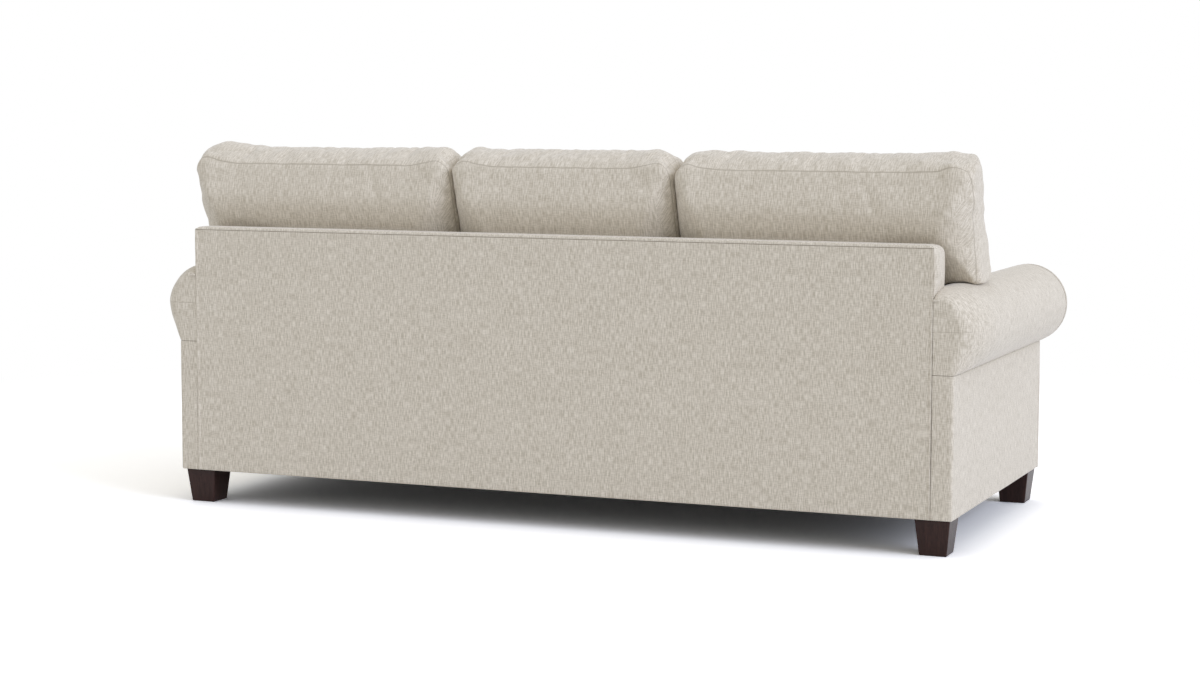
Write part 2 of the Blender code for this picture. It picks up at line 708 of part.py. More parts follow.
def add_back_cushion(name, side, near, far, ear_end=0.0):
    """A reclined cushion between two distances from the sofa's middle plane, on one side of it.

    An ear end is how far its ear reaches out over the arm.
    """
    proud = BULGE_SHARE * BACK_CUSHION_BULGE
    near += CUSHION_CLEARANCE + proud
    far -= CUSHION_CLEARANCE + (0.0 if ear_end else proud)
    width = far - near
    height = BACK_CUSHION_SEAM_HEIGHT - BACK_CUSHION_BOTTOM
    ear_width = (ear_end - proud - far) / width if ear_end else 0.0
    ear_start = (EAR_BOTTOM - BACK_CUSHION_BOTTOM) / height
    side_share = SEAM_LOOP / width
    end_share = SEAM_LOOP / height
    bm = cushion_cage(
        [side_share, *BACK_LOOP_SHARES, 1 - side_share],
        [end_share, ear_start, ear_start + end_share, (1 + ear_start) / 2, 1 - end_share],
        ear_width,
        ear_start,
        [1 + ear_width / 2, 1 + ear_width - side_share],
    )
    mark_seams(bm)
    for vert in bm.verts:
        across, up, through = vert.co
        in_ear = across > 1 + EDGE_SHARE
        last = 1 + ear_width if up > ear_start - EDGE_SHARE else 1.0
        at_side = edge_of(across, last)
        at_top = edge_of(up) == 1
        bottom = EAR_BOTTOM if in_ear else BACK_CUSHION_BOTTOM
        top = BACK_CUSHION_SEAM_HEIGHT + through * BACK_CUSHION_THICKNESS * math.sin(BACK_CUSHION_RECLINE)
        x = near + width * across
        if up < ear_start:
            z = BACK_CUSHION_BOTTOM + (EAR_BOTTOM - BACK_CUSHION_BOTTOM) * up / ear_start
        else:
            z = EAR_BOTTOM + (top - EAR_BOTTOM) * (up - ear_start) / (1 - ear_start)
        run = BACK_CUSHION_SEAM_RUN + (BACK_CUSHION_SEAM_HEIGHT - z) * math.tan(BACK_CUSHION_RECLINE)
        run += through * BACK_CUSHION_THICKNESS / math.cos(BACK_CUSHION_RECLINE)
        panel = edge_of(through)
        if panel:
            to_notch = math.hypot((across - 1) * width, z - EAR_BOTTOM) if ear_end else height
            to_seam = min(across * width, (last - across) * width, z - bottom, top - z, to_notch)
            out = crown(to_seam, BACK_FRONT_CROWN if panel == 1 else BACK_REAR_CROWN, BACK_CROWN_REACH)
            run += panel * out * math.cos(BACK_CUSHION_RECLINE)
            z += panel * out * math.sin(BACK_CUSHION_RECLINE)
        bulge = 0.0 if panel else BACK_CUSHION_BULGE
        pull = CORNER_DRAW if at_side and at_top else 0.0
        beside_arm = ear_end and at_side == 1 and not in_ear
        if not beside_arm:
            x += at_side * (bulge - pull - SIDE_DRAW * bow(up))
        if at_top:
            z += bulge - pull - TOP_SAG * bow(across / (1 + ear_width))
        vert.co = (side * x, REAR_Y - run, z)
    finish_cushion(name, bm)


def add_cushions():
    add_seat_cushion("centre_seat_cushion", 0)
    add_back_cushion("centre_back_cushion", 1, -CUSHION_WIDTH / 2, CUSHION_WIDTH / 2)
    for side_name, side in SIDES.items():
        add_seat_cushion(f"{side_name}_seat_cushion", side * CUSHION_WIDTH)
        ear_end = OUTER_X + EAR_OVERHANG
        add_back_cushion(f"{side_name}_back_cushion", side, CUSHION_WIDTH / 2, INNER_X, ear_end)


add_legs()
add_seat_frame()
for arm_name, arm_side in SIDES.items():
    add_arm_frame(arm_name, arm_side)
    add_arm_covers(arm_name, arm_side)
add_back_frame()
add_back_covers()
add_springs()
add_seat_covers()
add_cushions()
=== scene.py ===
import math
import bpy
import numpy as np
from mathutils import Matrix, Vector, noise


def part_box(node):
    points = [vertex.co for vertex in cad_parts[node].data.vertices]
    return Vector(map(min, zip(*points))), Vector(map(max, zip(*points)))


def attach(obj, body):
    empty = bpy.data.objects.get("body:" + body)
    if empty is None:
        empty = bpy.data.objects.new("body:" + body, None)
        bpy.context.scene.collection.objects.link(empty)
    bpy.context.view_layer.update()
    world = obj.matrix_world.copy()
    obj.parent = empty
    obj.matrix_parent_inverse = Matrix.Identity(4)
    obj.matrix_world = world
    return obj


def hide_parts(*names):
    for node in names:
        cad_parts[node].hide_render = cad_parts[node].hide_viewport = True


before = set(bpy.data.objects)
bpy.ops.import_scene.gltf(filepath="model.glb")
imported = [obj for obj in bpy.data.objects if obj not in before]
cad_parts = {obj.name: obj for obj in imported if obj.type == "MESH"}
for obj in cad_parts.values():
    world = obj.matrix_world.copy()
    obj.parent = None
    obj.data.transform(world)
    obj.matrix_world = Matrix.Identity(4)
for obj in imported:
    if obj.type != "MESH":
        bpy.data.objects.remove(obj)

for startupName in ("Cube", "Light", "Camera"):
    if startupName in bpy.data.objects:
        bpy.data.objects.remove(bpy.data.objects[startupName])
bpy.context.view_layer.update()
scene = bpy.context.scene

# metres; +X is the sofa's right as seen from the front, -Y its front, +Z up
sofa = {
    "rearY": 0.4715,
    "armFrontY": -0.4553,
    "innerX": 0.9145,  # the inside of an arm
    "outerX": 1.055,  # the outside of an arm, below its roll
    "stripX": 1.0021,  # where the end of the arm meets the outside back
    "legTop": 0.089,
    "creaseZ": 0.4344,  # the crease under the roll
    "backTop": 0.740,
    "backSeamZ": 0.7320,
    "backDeep": 0.104,
}
roll = {"x": 1.020, "z": 0.534, "radius": 0.1055}  # the middle line and size of the rolled arms
sides = {"left": -1, "right": 1}


def addCamera():
    values = {
        "place": (-2.4442, 5.9965, 1.0822), "azimuth": 202.4711, "elevation": 5.6535, "roll": 0.1144,
        "lens": 72.81,
    }
    azimuth, elevation, tilt = (math.radians(values[key]) for key in ("azimuth", "elevation", "roll"))
    back = Vector(
        (math.sin(azimuth) * math.cos(elevation), -math.cos(azimuth) * math.cos(elevation), math.sin(elevation))
    )
    level = (-back).cross(Vector((0, 0, 1))).normalized()
    upright = level.cross(-back)
    across = math.cos(tilt) * level + math.sin(tilt) * upright
    above = -math.sin(tilt) * level + math.cos(tilt) * upright
    cameraData = bpy.data.cameras.new("photoCamera")
    cameraData.lens = values["lens"]
    cameraData.sensor_width = 36
    cameraData.clip_end = 200
    camera = bpy.data.objects.new("photoCamera", cameraData)
    camera.matrix_world = Matrix.Translation(values["place"]) @ Matrix((across, above, back)).transposed().to_4x4()
    scene.collection.objects.link(camera)
    scene.camera = camera


# small helpers for node trees

def put(tree, kind, sockets=None, **settings):
    made = tree.nodes.new(kind)
    for key, value in settings.items():
        setattr(made, key, value)
    for key, value in (sockets or {}).items():
        made.inputs[key].default_value = value
    return made


def wire(tree, *pairs):
    for source, target in pairs:
        tree.links.new(source, target)


def newMaterial(name):
    material = bpy.data.materials.new(name)
    material.use_nodes = True
    material.node_tree.nodes.clear()
    return material, material.node_tree


def calculate(tree, operation, first, second=None):
    made = put(tree, "ShaderNodeMath", operation=operation)
    for socket, value in zip(made.inputs, (first, second)):
        if isinstance(value, (int, float)):
            socket.default_value = value
        elif value is not None:
            wire(tree, (value, socket))
    return made.outputs[0]


def spread(tree, value, low, high, toLow=0.0, toHigh=1.0, **settings):
    ends = {"From Min": low, "From Max": high, "To Min": toLow, "To Max": toHigh}
    made = put(tree, "ShaderNodeMapRange", ends, **settings)
    wire(tree, (value, made.inputs["Value"]))
    return made.outputs[0]


def blendColour(tree, amount, first, second):
    made = put(tree, "ShaderNodeMix", data_type="RGBA")
    for socket, value in ((made.inputs[0], amount), (made.inputs[6], first), (made.inputs[7], second)):
        if isinstance(value, tuple):
            socket.default_value = value
        else:
            wire(tree, (value, socket))
    return made.outputs[2]


def mixShaders(tree, amount, first, second, outputKind):
    pick = put(tree, "ShaderNodeMixShader")
    out = put(tree, outputKind)
    wire(
        tree,
        (amount, pick.inputs[0]),
        (first.outputs[0], pick.inputs[1]),
        (second.outputs[0], pick.inputs[2]),
        (pick.outputs[0], out.inputs[0]),
    )


def addLights():
    values = {
        "sky": 0.75, "sunStrength": 1.25, "sunColour": (0.94, 1.01, 1.25), "sunSoftness": 36,
        "sunFrom": (-0.89, 0.18, 0.46),
    }
    sun = bpy.data.lights.new("softKey", "SUN")
    sun.energy = values["sunStrength"]
    sun.color = values["sunColour"]
    sun.angle = math.radians(values["sunSoftness"])
    lamp = bpy.data.objects.new("softKey", sun)
    lamp.rotation_mode = "QUATERNION"
    lamp.rotation_quaternion = Vector(values["sunFrom"]).to_track_quat("Z", "Y")
    scene.collection.objects.link(lamp)

    # the sky lights the sofa softly, and is white where it is seen
    world = bpy.data.worlds.new("studioSky")
    scene.world = world
    world.use_nodes = True
    tree = world.node_tree
    tree.nodes.clear()
    ray = put(tree, "ShaderNodeLightPath").outputs
    seen = calculate(tree, "MAXIMUM", ray["Is Camera Ray"], ray["Is Glossy Ray"])
    seen = calculate(tree, "MAXIMUM", seen, ray["Is Transmission Ray"])
    light = put(tree, "ShaderNodeBackground", {"Color": (1, 1, 1, 1), "Strength": values["sky"]})
    white = put(tree, "ShaderNodeBackground", {"Color": (1, 1, 1, 1), "Strength": 1.0})
    mixShaders(tree, seen, light, white, "ShaderNodeOutputWorld")


def addFloor():
    values = {
        "size": 60,
        "bounce": (0.80, 0.80, 0.80, 1),  # the paper as it lights the sofa
        "seen": (1.42, 1.4129, 1.3916, 1),  # and as the camera sees it, white where no shadow falls
        "fade": (2.0, 3.6),  # from here to there it turns to plain white
    }
    bpy.ops.mesh.primitive_plane_add(size=values["size"], location=(0, 0, 0))
    floor = bpy.context.active_object
    floor.name = "studioFloor"
    material, tree = newMaterial("studioPaper")
    seen = put(tree, "ShaderNodeLightPath").outputs["Is Camera Ray"]
    paper = put(tree, "ShaderNodeBsdfDiffuse")
    white = put(tree, "ShaderNodeEmission", {"Color": (1, 1, 1, 1), "Strength": 1.0})
    away = put(tree, "ShaderNodeVectorMath", operation="LENGTH")
    wire(
        tree,
        (blendColour(tree, seen, values["bounce"], values["seen"]), paper.inputs["Color"]),
        (put(tree, "ShaderNodeTexCoord").outputs["Object"], away.inputs[0]),
    )
    fade = spread(tree, away.outputs["Value"], *values["fade"], interpolation_type="SMOOTHSTEP")
    mixShaders(tree, calculate(tree, "MULTIPLY", fade, seen), paper, white, "ShaderNodeOutputMaterial")
    floor.data.materials.append(material)


addCamera()
addLights()
addFloor()
print("camera, light and floor are set")


# shared effects, each a node group that puts out a colour, a roughness and a height

def newGroup(name, inputs):
    group = bpy.data.node_groups.new(name, "ShaderNodeTree")
    for label, kind in inputs:
        group.interface.new_socket(label, in_out="INPUT", socket_type=kind)
    for label, kind in (("Color", "NodeSocketColor"), ("Roughness", "NodeSocketFloat"), ("Height", "NodeSocketFloat")):
        group.interface.new_socket(label, in_out="OUTPUT", socket_type=kind)
    return group, group.nodes.new("NodeGroupInput").outputs, group.nodes.new("NodeGroupOutput").inputs


def stretchedNoise(tree, vector, stretch, detail=2.0, roughness=0.5):
    mapping = put(tree, "ShaderNodeMapping", {"Scale": stretch})
    cloud = put(tree, "ShaderNodeTexNoise", {"Scale": 1.0, "Detail": detail, "Roughness": roughness})
    wire(tree, (vector, mapping.inputs["Vector"]), (mapping.outputs[0], cloud.inputs["Vector"]))
    return cloud.outputs["Fac"]


def makeSlubWeave():
    values = {
        # unevenness of the yarn: how fine it is per metre, its detail, its ends and its share of the shade
        "slub": ((480, 56, 1), 0.0, (0.34, 0.66), 0.54),  # flecks about 2 mm wide and 20 mm long, along the warp
        "streak": ((230, 14, 1), 0.0, (0.30, 0.70), 0.14), "cross": ((80, 430, 1), 0.0, (0.32, 0.68), 0.27),
        "mottle": ((12, 10, 1), 3.0, (0.35, 0.65), 0.05), "threadsPerMetre": 900, "mixHeight": 0.7,
        "threadHeight": 0.3, "seamDeep": 1.5,
        "seamFrom": 0.72,  # the seam mark is drawn where it is stronger than this
    }
    group, given, result = newGroup(
        "slubWeave",
        [
            ("Cloth", "NodeSocketVector"),
            ("Dark yarn", "NodeSocketColor"),
            ("Pale yarn", "NodeSocketColor"),
            ("Seam shade", "NodeSocketColor"),
            ("Seam", "NodeSocketFloat"),
        ],
    )

    def times(first, second):
        return calculate(group, "MULTIPLY", first, second)

    mix = 0.0
    for key in ("slub", "streak", "cross", "mottle"):
        stretch, detail, ends, share = values[key]
        cloud = spread(group, stretchedNoise(group, given["Cloth"], stretch, detail), *ends)
        mix = calculate(group, "ADD", mix, times(cloud, share))
    apart = put(group, "ShaderNodeSeparateXYZ")
    wire(group, (given["Cloth"], apart.inputs[0]))
    turns = values["threadsPerMetre"] * math.pi
    warp, weft = (calculate(group, "SINE", times(apart.outputs[axis], turns)) for axis in (0, 1))
    thread = spread(group, times(warp, weft), -1, 1)
    # the seams are painted darker: the seam colour is painted shade in the seam groove, and the groove itself is also
    # pressed in by the height
    line = spread(group, given["Seam"], values["seamFrom"], 1.0)
    height = calculate(group, "ADD", times(mix, values["mixHeight"]), times(thread, values["threadHeight"]))
    colour = blendColour(group, mix, given["Dark yarn"], given["Pale yarn"])
    wire(
        group,
        (blendColour(group, line, colour, given["Seam shade"]), result["Color"]),
        (spread(group, mix, 0, 1, 0.97, 0.86), result["Roughness"]),
        (calculate(group, "SUBTRACT", height, times(line, values["seamDeep"])), result["Height"]),
    )
    return group


def makeGrain():
    values = {
        "fibre": ((1, 1, 1), 4.0, 0.65), "broad": ((0.22, 0.22, 0.22), 2.0), "pore": ((3.2, 3.2, 3.2), 1.0),
        "fibreShare": 0.6, "broadShare": 0.4, "poreDark": 0.35,
    }
    group, given, result = newGroup(
        "woodGrain",
        [("Along the grain", "NodeSocketVector"), ("Dark wood", "NodeSocketColor"), ("Pale wood", "NodeSocketColor")],
    )
    fibre, broad, pore = (
        stretchedNoise(group, given["Along the grain"], *values[key]) for key in ("fibre", "broad", "pore")
    )
    fibre = calculate(group, "MULTIPLY", fibre, values["fibreShare"])
    broad = calculate(group, "MULTIPLY", broad, values["broadShare"])
    pore = calculate(group, "MULTIPLY", spread(group, pore, 0.55, 0.75), values["poreDark"])
    mix = calculate(group, "SUBTRACT", spread(group, calculate(group, "ADD", fibre, broad), 0.32, 0.68), pore)
    wire(
        group,
        (blendColour(group, mix, given["Dark wood"], given["Pale wood"]), result["Color"]),
        (spread(group, mix, 0, 1, 1.0, 0.8), result["Roughness"]),
        (mix, result["Height"]),
    )
    return group


slubWeave = makeSlubWeave()
woodGrain = makeGrain()


def finishMaterial(tree, values, colour, roughness, height, bumpStrength, bumpDistance):
    shader = put(tree, "ShaderNodeBsdfPrincipled", values)
    bump = put(tree, "ShaderNodeBump", {"Strength": bumpStrength, "Distance": bumpDistance})
    out = put(tree, "ShaderNodeOutputMaterial")
    wire(
        tree,
        (colour, shader.inputs["Base Color"]),
        (roughness, shader.inputs["Roughness"]),
        (height, bump.inputs["Height"]),
        (bump.outputs[0], shader.inputs["Normal"]),
        (shader.outputs[0], out.inputs[0]),
    )


def makeCloth(name, dark, pale, seamPaintedShade, sheen, bumpDistance):
    values = {
        "Specular IOR Level": 0.22,
        "Sheen Weight": sheen,
        "Sheen Roughness": 0.5,
        "Sheen Tint": (1.0, 0.99, 0.97, 1),
    }
    material, tree = newMaterial(name)
    cloth = put(tree, "ShaderNodeUVMap", uv_map="weave")
    seam = put(tree, "ShaderNodeAttribute", attribute_name="seam")
    # the seam colour is painted shade, drawn along the marked seams
    shades = {"Dark yarn": (*dark, 1), "Pale yarn": (*pale, 1), "Seam shade": (*seamPaintedShade, 1)}
    group = put(tree, "ShaderNodeGroup", node_tree=slubWeave)
    for label, shade in shades.items():
        group.inputs[label].default_value = shade
    wire(tree, (cloth.outputs[0], group.inputs["Cloth"]), (seam.outputs["Fac"], group.inputs["Seam"]))
    shown = (group.outputs[label] for label in ("Color", "Roughness", "Height"))
    finishMaterial(tree, values, *shown, 0.5, bumpDistance)
    return material


def makeWood(name, dark, pale, stretch, roughness, values):
    material, tree = newMaterial(name)
    where = put(tree, "ShaderNodeTexCoord")
    mapping = put(tree, "ShaderNodeMapping", {"Scale": stretch})
    group = put(tree, "ShaderNodeGroup", node_tree=woodGrain)
    group.inputs["Dark wood"].default_value = (*dark, 1)
    group.inputs["Pale wood"].default_value = (*pale, 1)
    wire(
        tree,
        (where.outputs["Object"], mapping.inputs["Vector"]),
        (mapping.outputs[0], group.inputs["Along the grain"]),
    )
    rough = calculate(tree, "MULTIPLY", group.outputs["Roughness"], roughness)
    finishMaterial(tree, values, group.outputs["Color"], rough, group.outputs["Height"], 0.4, 0.0004)
    return material


def makeSteel():
    values = {
        "mill": (60, 700, 700), "stain": (25, 25, 25), "dark": (0.20, 0.20, 0.22, 1),
        "pale": (0.36, 0.35, 0.34, 1),
    }
    material, tree = newMaterial("bluedSpringSteel")
    where = put(tree, "ShaderNodeTexCoord").outputs["Object"]
    mill = stretchedNoise(tree, where, values["mill"], 3.0)
    stain = spread(tree, stretchedNoise(tree, where, values["stain"], 3.0), 0.35, 0.65)
    colour = blendColour(tree, stain, values["dark"], values["pale"])
    finishMaterial(tree, {"Metallic": 1.0}, colour, spread(tree, mill, 0.3, 0.7, 0.28, 0.48), mill, 0.2, 0.0002)
    return material


def makeDustCloth():
    values = {
        "fibre": (420, 420, 420), "dust": (9, 9, 9), "dark": (0.012, 0.012, 0.013, 1),
        "pale": (0.045, 0.044, 0.043, 1),
    }
    material, tree = newMaterial("blackDustCloth")
    where = put(tree, "ShaderNodeTexCoord").outputs["Object"]
    fibre = stretchedNoise(tree, where, values["fibre"], 3.0, 0.7)
    dust = spread(tree, stretchedNoise(tree, where, values["dust"], 3.0), 0.2, 0.8, 0.5, 1.0)
    mix = calculate(tree, "MULTIPLY", spread(tree, fibre, 0.3, 0.7), dust)
    colour = blendColour(tree, mix, values["dark"], values["pale"])
    rough = spread(tree, mix, 0, 1, 0.95, 0.8)
    finishMaterial(tree, {"Specular IOR Level": 0.2}, colour, rough, fibre, 0.4, 0.0004)
    return material


# the third colour of each cloth is the painted shade along its seams
oatmealLinen = makeCloth(
    "oatmealLinen", (0.484, 0.431, 0.340), (0.797, 0.736, 0.636), (0.44, 0.39, 0.31), sheen=0.38, bumpDistance=0.0007
)
deckDuck = makeCloth(
    "cottonDeckCloth", (0.52, 0.48, 0.41), (0.62, 0.58, 0.51), (0.25, 0.21, 0.17), sheen=0.15, bumpDistance=0.0004
)
espresso = {"Specular IOR Level": 0.2, "Coat Weight": 0.9, "Coat IOR": 1.25, "Coat Roughness": 0.25}
pine = {"Specular IOR Level": 0.3}
espressoWood = makeWood("espressoWood", (0.018, 0.005, 0.003), (0.048, 0.019, 0.014), (210, 210, 14), 0.42, espresso)
boardAlongX = makeWood("pineBoardAlongX", (0.42, 0.27, 0.14), (0.66, 0.50, 0.31), (7, 120, 120), 0.85, pine)
boardAlongY = makeWood("pineBoardAlongY", (0.42, 0.27, 0.14), (0.66, 0.50, 0.31), (120, 7, 120), 0.85, pine)
boardAlongZ = makeWood("pineBoardAlongZ", (0.40, 0.26, 0.14), (0.63, 0.48, 0.30), (120, 120, 7), 0.85, pine)
springSteel = makeSteel()
dustCloth = makeDustCloth()
print("materials are made")


# the wood and steel that the CAD model gives keep their shapes and take these finishes

def dressNodes():
    for name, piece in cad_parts.items():
        if name.endswith("_leg"):
            finish = espressoWood
        elif "spring" in name or name.endswith("_bolt"):
            finish = springSteel
        elif name.endswith(("side_rail", "stretcher", "top_board")):
            finish = boardAlongY
        elif name.endswith("_rail"):
            finish = boardAlongX
        elif name.endswith(("_board", "_post", "_block")):
            finish = boardAlongZ
        else:
            continue  # fabric, which is replaced below
        piece.data.materials.clear()
        piece.data.materials.append(finish)


dressNodes()


# small helpers for shapes

def within(share):
    return max(0.0, min(1.0, share))


def ease(share):
    share = within(share)
    return share * share * (3 - 2 * share)


def steps(low, high, size):
    count = max(1, round(abs(high - low) / size))
    return [low + (high - low) * k / count for k in range(count + 1)]


def onRoll(turn, radius):
    # a point on the round of an arm, by its angle in radians from straight outward
    return roll["x"] + radius * math.cos(turn), roll["z"] + radius * math.sin(turn)


def onlySelect(piece, *others):
    bpy.ops.object.select_all(action="DESELECT")
    for chosen in (piece, *others):
        chosen.select_set(True)
    bpy.context.view_layer.objects.active = piece


def applyAll(piece):
    onlySelect(piece)
    for modifier in list(piece.modifiers):
        bpy.ops.object.modifier_apply(modifier=modifier.name)


def readAll(items, key, width=1, kind=np.float64):
    found = np.empty(len(items) * width, kind)
    items.foreach_get(key, found)
    return found.reshape(-1, width)


def readPoints(piece, key="co"):
    return readAll(piece.data.vertices, key, 3)


def writePoints(piece, points):
    piece.data.vertices.foreach_set("co", points.ravel())
    piece.data.update()


def inOrder(piece):
    # edit mode leaves the faces and edges in another order on each run, and the simulation would follow it
    points, old = readPoints(piece), piece.data
    order = np.lexsort(points.round(6).T)
    place = np.empty(len(order), np.int64)
    place[order] = np.arange(len(order))
    rings = [place[list(face.vertices)].tolist() for face in old.polygons]
    starts = [ring.index(min(ring)) for ring in rings]
    faces = sorted(ring[start:] + ring[:start] for ring, start in zip(rings, starts))
    name, piece.data = old.name, bpy.data.meshes.new("sorted")
    piece.data.from_pydata(points[order].tolist(), [], faces)
    bpy.data.meshes.remove(old)
    piece.data.name = name


def faceOut(piece, inside):
    # a surface is turned over if most of it looks at the point that should be behind it
    behind = Vector(inside)
    if sum((face.center - behind).dot(face.normal) * face.area for face in piece.data.polygons) < 0:
        piece.data.flip_normals()


def surfaceFrom(name, lines, inside, seamOf=None):
    # lines of points, all of one length, joined by quads
    count = len(lines[0])
    points = [point for line in lines for point in line]
    faces = []
    for start in range(0, len(points) - count, count):
        faces += [(k, k + 1, k + count + 1, k + count) for k in range(start, start + count - 1)]
    mesh = bpy.data.meshes.new(name)
    mesh.from_pydata([tuple(point) for point in points], [], faces)
    piece = bpy.data.objects.new(name, mesh)
    scene.collection.objects.link(piece)
    seam = mesh.attributes.new("seam", "FLOAT", "POINT")
    seam.data.foreach_set("value", [seamOf(point) if seamOf else 0.0 for point in points])
    faceOut(piece, inside)
    return piece


def refine(piece):
    soft = piece.modifiers.new("soft", "SUBSURF")
    soft.levels = soft.render_levels = 1
    applyAll(piece)


def padOut(piece, thickness):
    wall = piece.modifiers.new("padding", "SOLIDIFY")
    wall.thickness = thickness
    wall.offset = -1
    applyAll(piece)
    refine(piece)


def layWeave(piece, tilt=0.0, girth=None):
    # the piece's own weave map, in metres; the warp runs up each panel, or round an arm by its girth
    values = {"endFaces": 0.72, "shift": 3.0}
    mesh, points = piece.data, readPoints(piece)
    totals = readAll(mesh.polygons, "loop_total", kind=np.int64)[:, 0]
    corners = readAll(mesh.loops, "vertex_index", kind=np.int64)[:, 0]
    turn = np.array(Matrix.Rotation(-tilt, 3, "X"))
    facing = np.repeat(np.abs(readAll(mesh.polygons, "normal", 3) @ turn.T), totals, axis=0)
    at = (points @ turn.T)[corners]
    if girth is None:
        across = np.where(facing[:, 0:1] >= facing.max(1, keepdims=True) - 1e-9, at[:, [1, 2]], at[:, [0, 2]])
        flatTop = (facing[:, 2:3] > facing[:, 0:1]) & (facing[:, 2:3] > facing[:, 1:2])
        uv = np.where(flatTop, at[:, [0, 1]], across)
    else:
        aroundArm = np.stack([at[:, 1], girth(points)[corners]], 1)
        uv = np.where(facing[:, 1:2] > values["endFaces"], at[:, [0, 2]], aroundArm)
    while mesh.uv_layers:
        mesh.uv_layers.remove(mesh.uv_layers[0])
    layer = mesh.uv_layers.new(name="weave")
    layer.data.foreach_set("uv", np.ascontiguousarray(uv + values["shift"], np.float32).ravel())


def ripple(piece, amount, size, axis):
    # cloth drawn over a board is never quite flat
    points = readPoints(piece)
    for point in points:
        point[axis] += amount * noise.noise(Vector(point) / size)
    writePoints(piece, points)


def finishPiece(piece, body, slotName, material, *nodes, fill=None):
    piece.data.materials.clear()
    piece.data.materials.append(material)
    piece.data.shade_smooth()
    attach(piece, body)
    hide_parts(*nodes)


def finishPanel(panel, values, slotName, material, *nodes):
    padOut(panel, values["wall"])
    if "ripple" in values:
        ripple(panel, *values["ripple"])
    layWeave(panel)
    finishPiece(panel, "frame", slotName, material, *nodes, fill=values["fill"])


def panelRows(low, high, lowRun, highRun, values):
    # heights up a panel and how deep the cloth folds in there; its two edges are drawn closer
    rows = [(low + up, fold) for up, fold in values["lowEdge"]]
    rows += [(z, 0.0) for z in steps(low + lowRun, high - highRun, values["mesh"])]
    return rows + [(high - down, fold) for down, fold in values["topEdge"]]


def addOutsideBack():
    values = {
        "half": 1.0020, "wall": 0.004,
        # how far in from the side seam, and how far the cloth stands out there
        "sideEdge": [
            (0.0, 0.0006), (0.0003, 0.0010), (0.0025, 0.0011), (0.0045, 0.0011),
            (0.0062, 0.0009), (0.0075, -0.0005), (0.0105, -0.0002), (0.016, 0.0),
        ],
        # how far above the lower edge or below the top one, and how far the cloth stands out there
        "lowEdge": [(0.0, -0.0036), (0.0006, -0.0014), (0.003, -0.0002), (0.008, 0.0)],
        "topEdge": [(0.009, 0.0), (0.003, -0.0001), (0.0005, -0.0001), (0.0, -0.0007)], "topGap": 0.0004,
        "mesh": 0.022, "ripple": (0.0012, 0.19, 1), "fill": 0.95,
    }
    half, rear, mesh = values["half"], sofa["rearY"], values["mesh"]
    rights = [(half - run, rise) for run, rise in values["sideEdge"]]
    middle = [(x, 0.0) for x in steps(half - 0.03, -half + 0.03, mesh)]
    columns = rights + middle + [(-x, rise) for x, rise in reversed(rights)]
    rows = panelRows(sofa["legTop"], sofa["backSeamZ"] - values["topGap"], 0.025, 0.025, values)
    lines = [[Vector((x, rear + rise + fold, z)) for x, rise in columns] for z, fold in rows]
    panel = surfaceFrom("outsideBackPanel", lines, (0, 0, 0.4))
    finishPanel(panel, values, "upholstery", oatmealLinen, "outside_back")


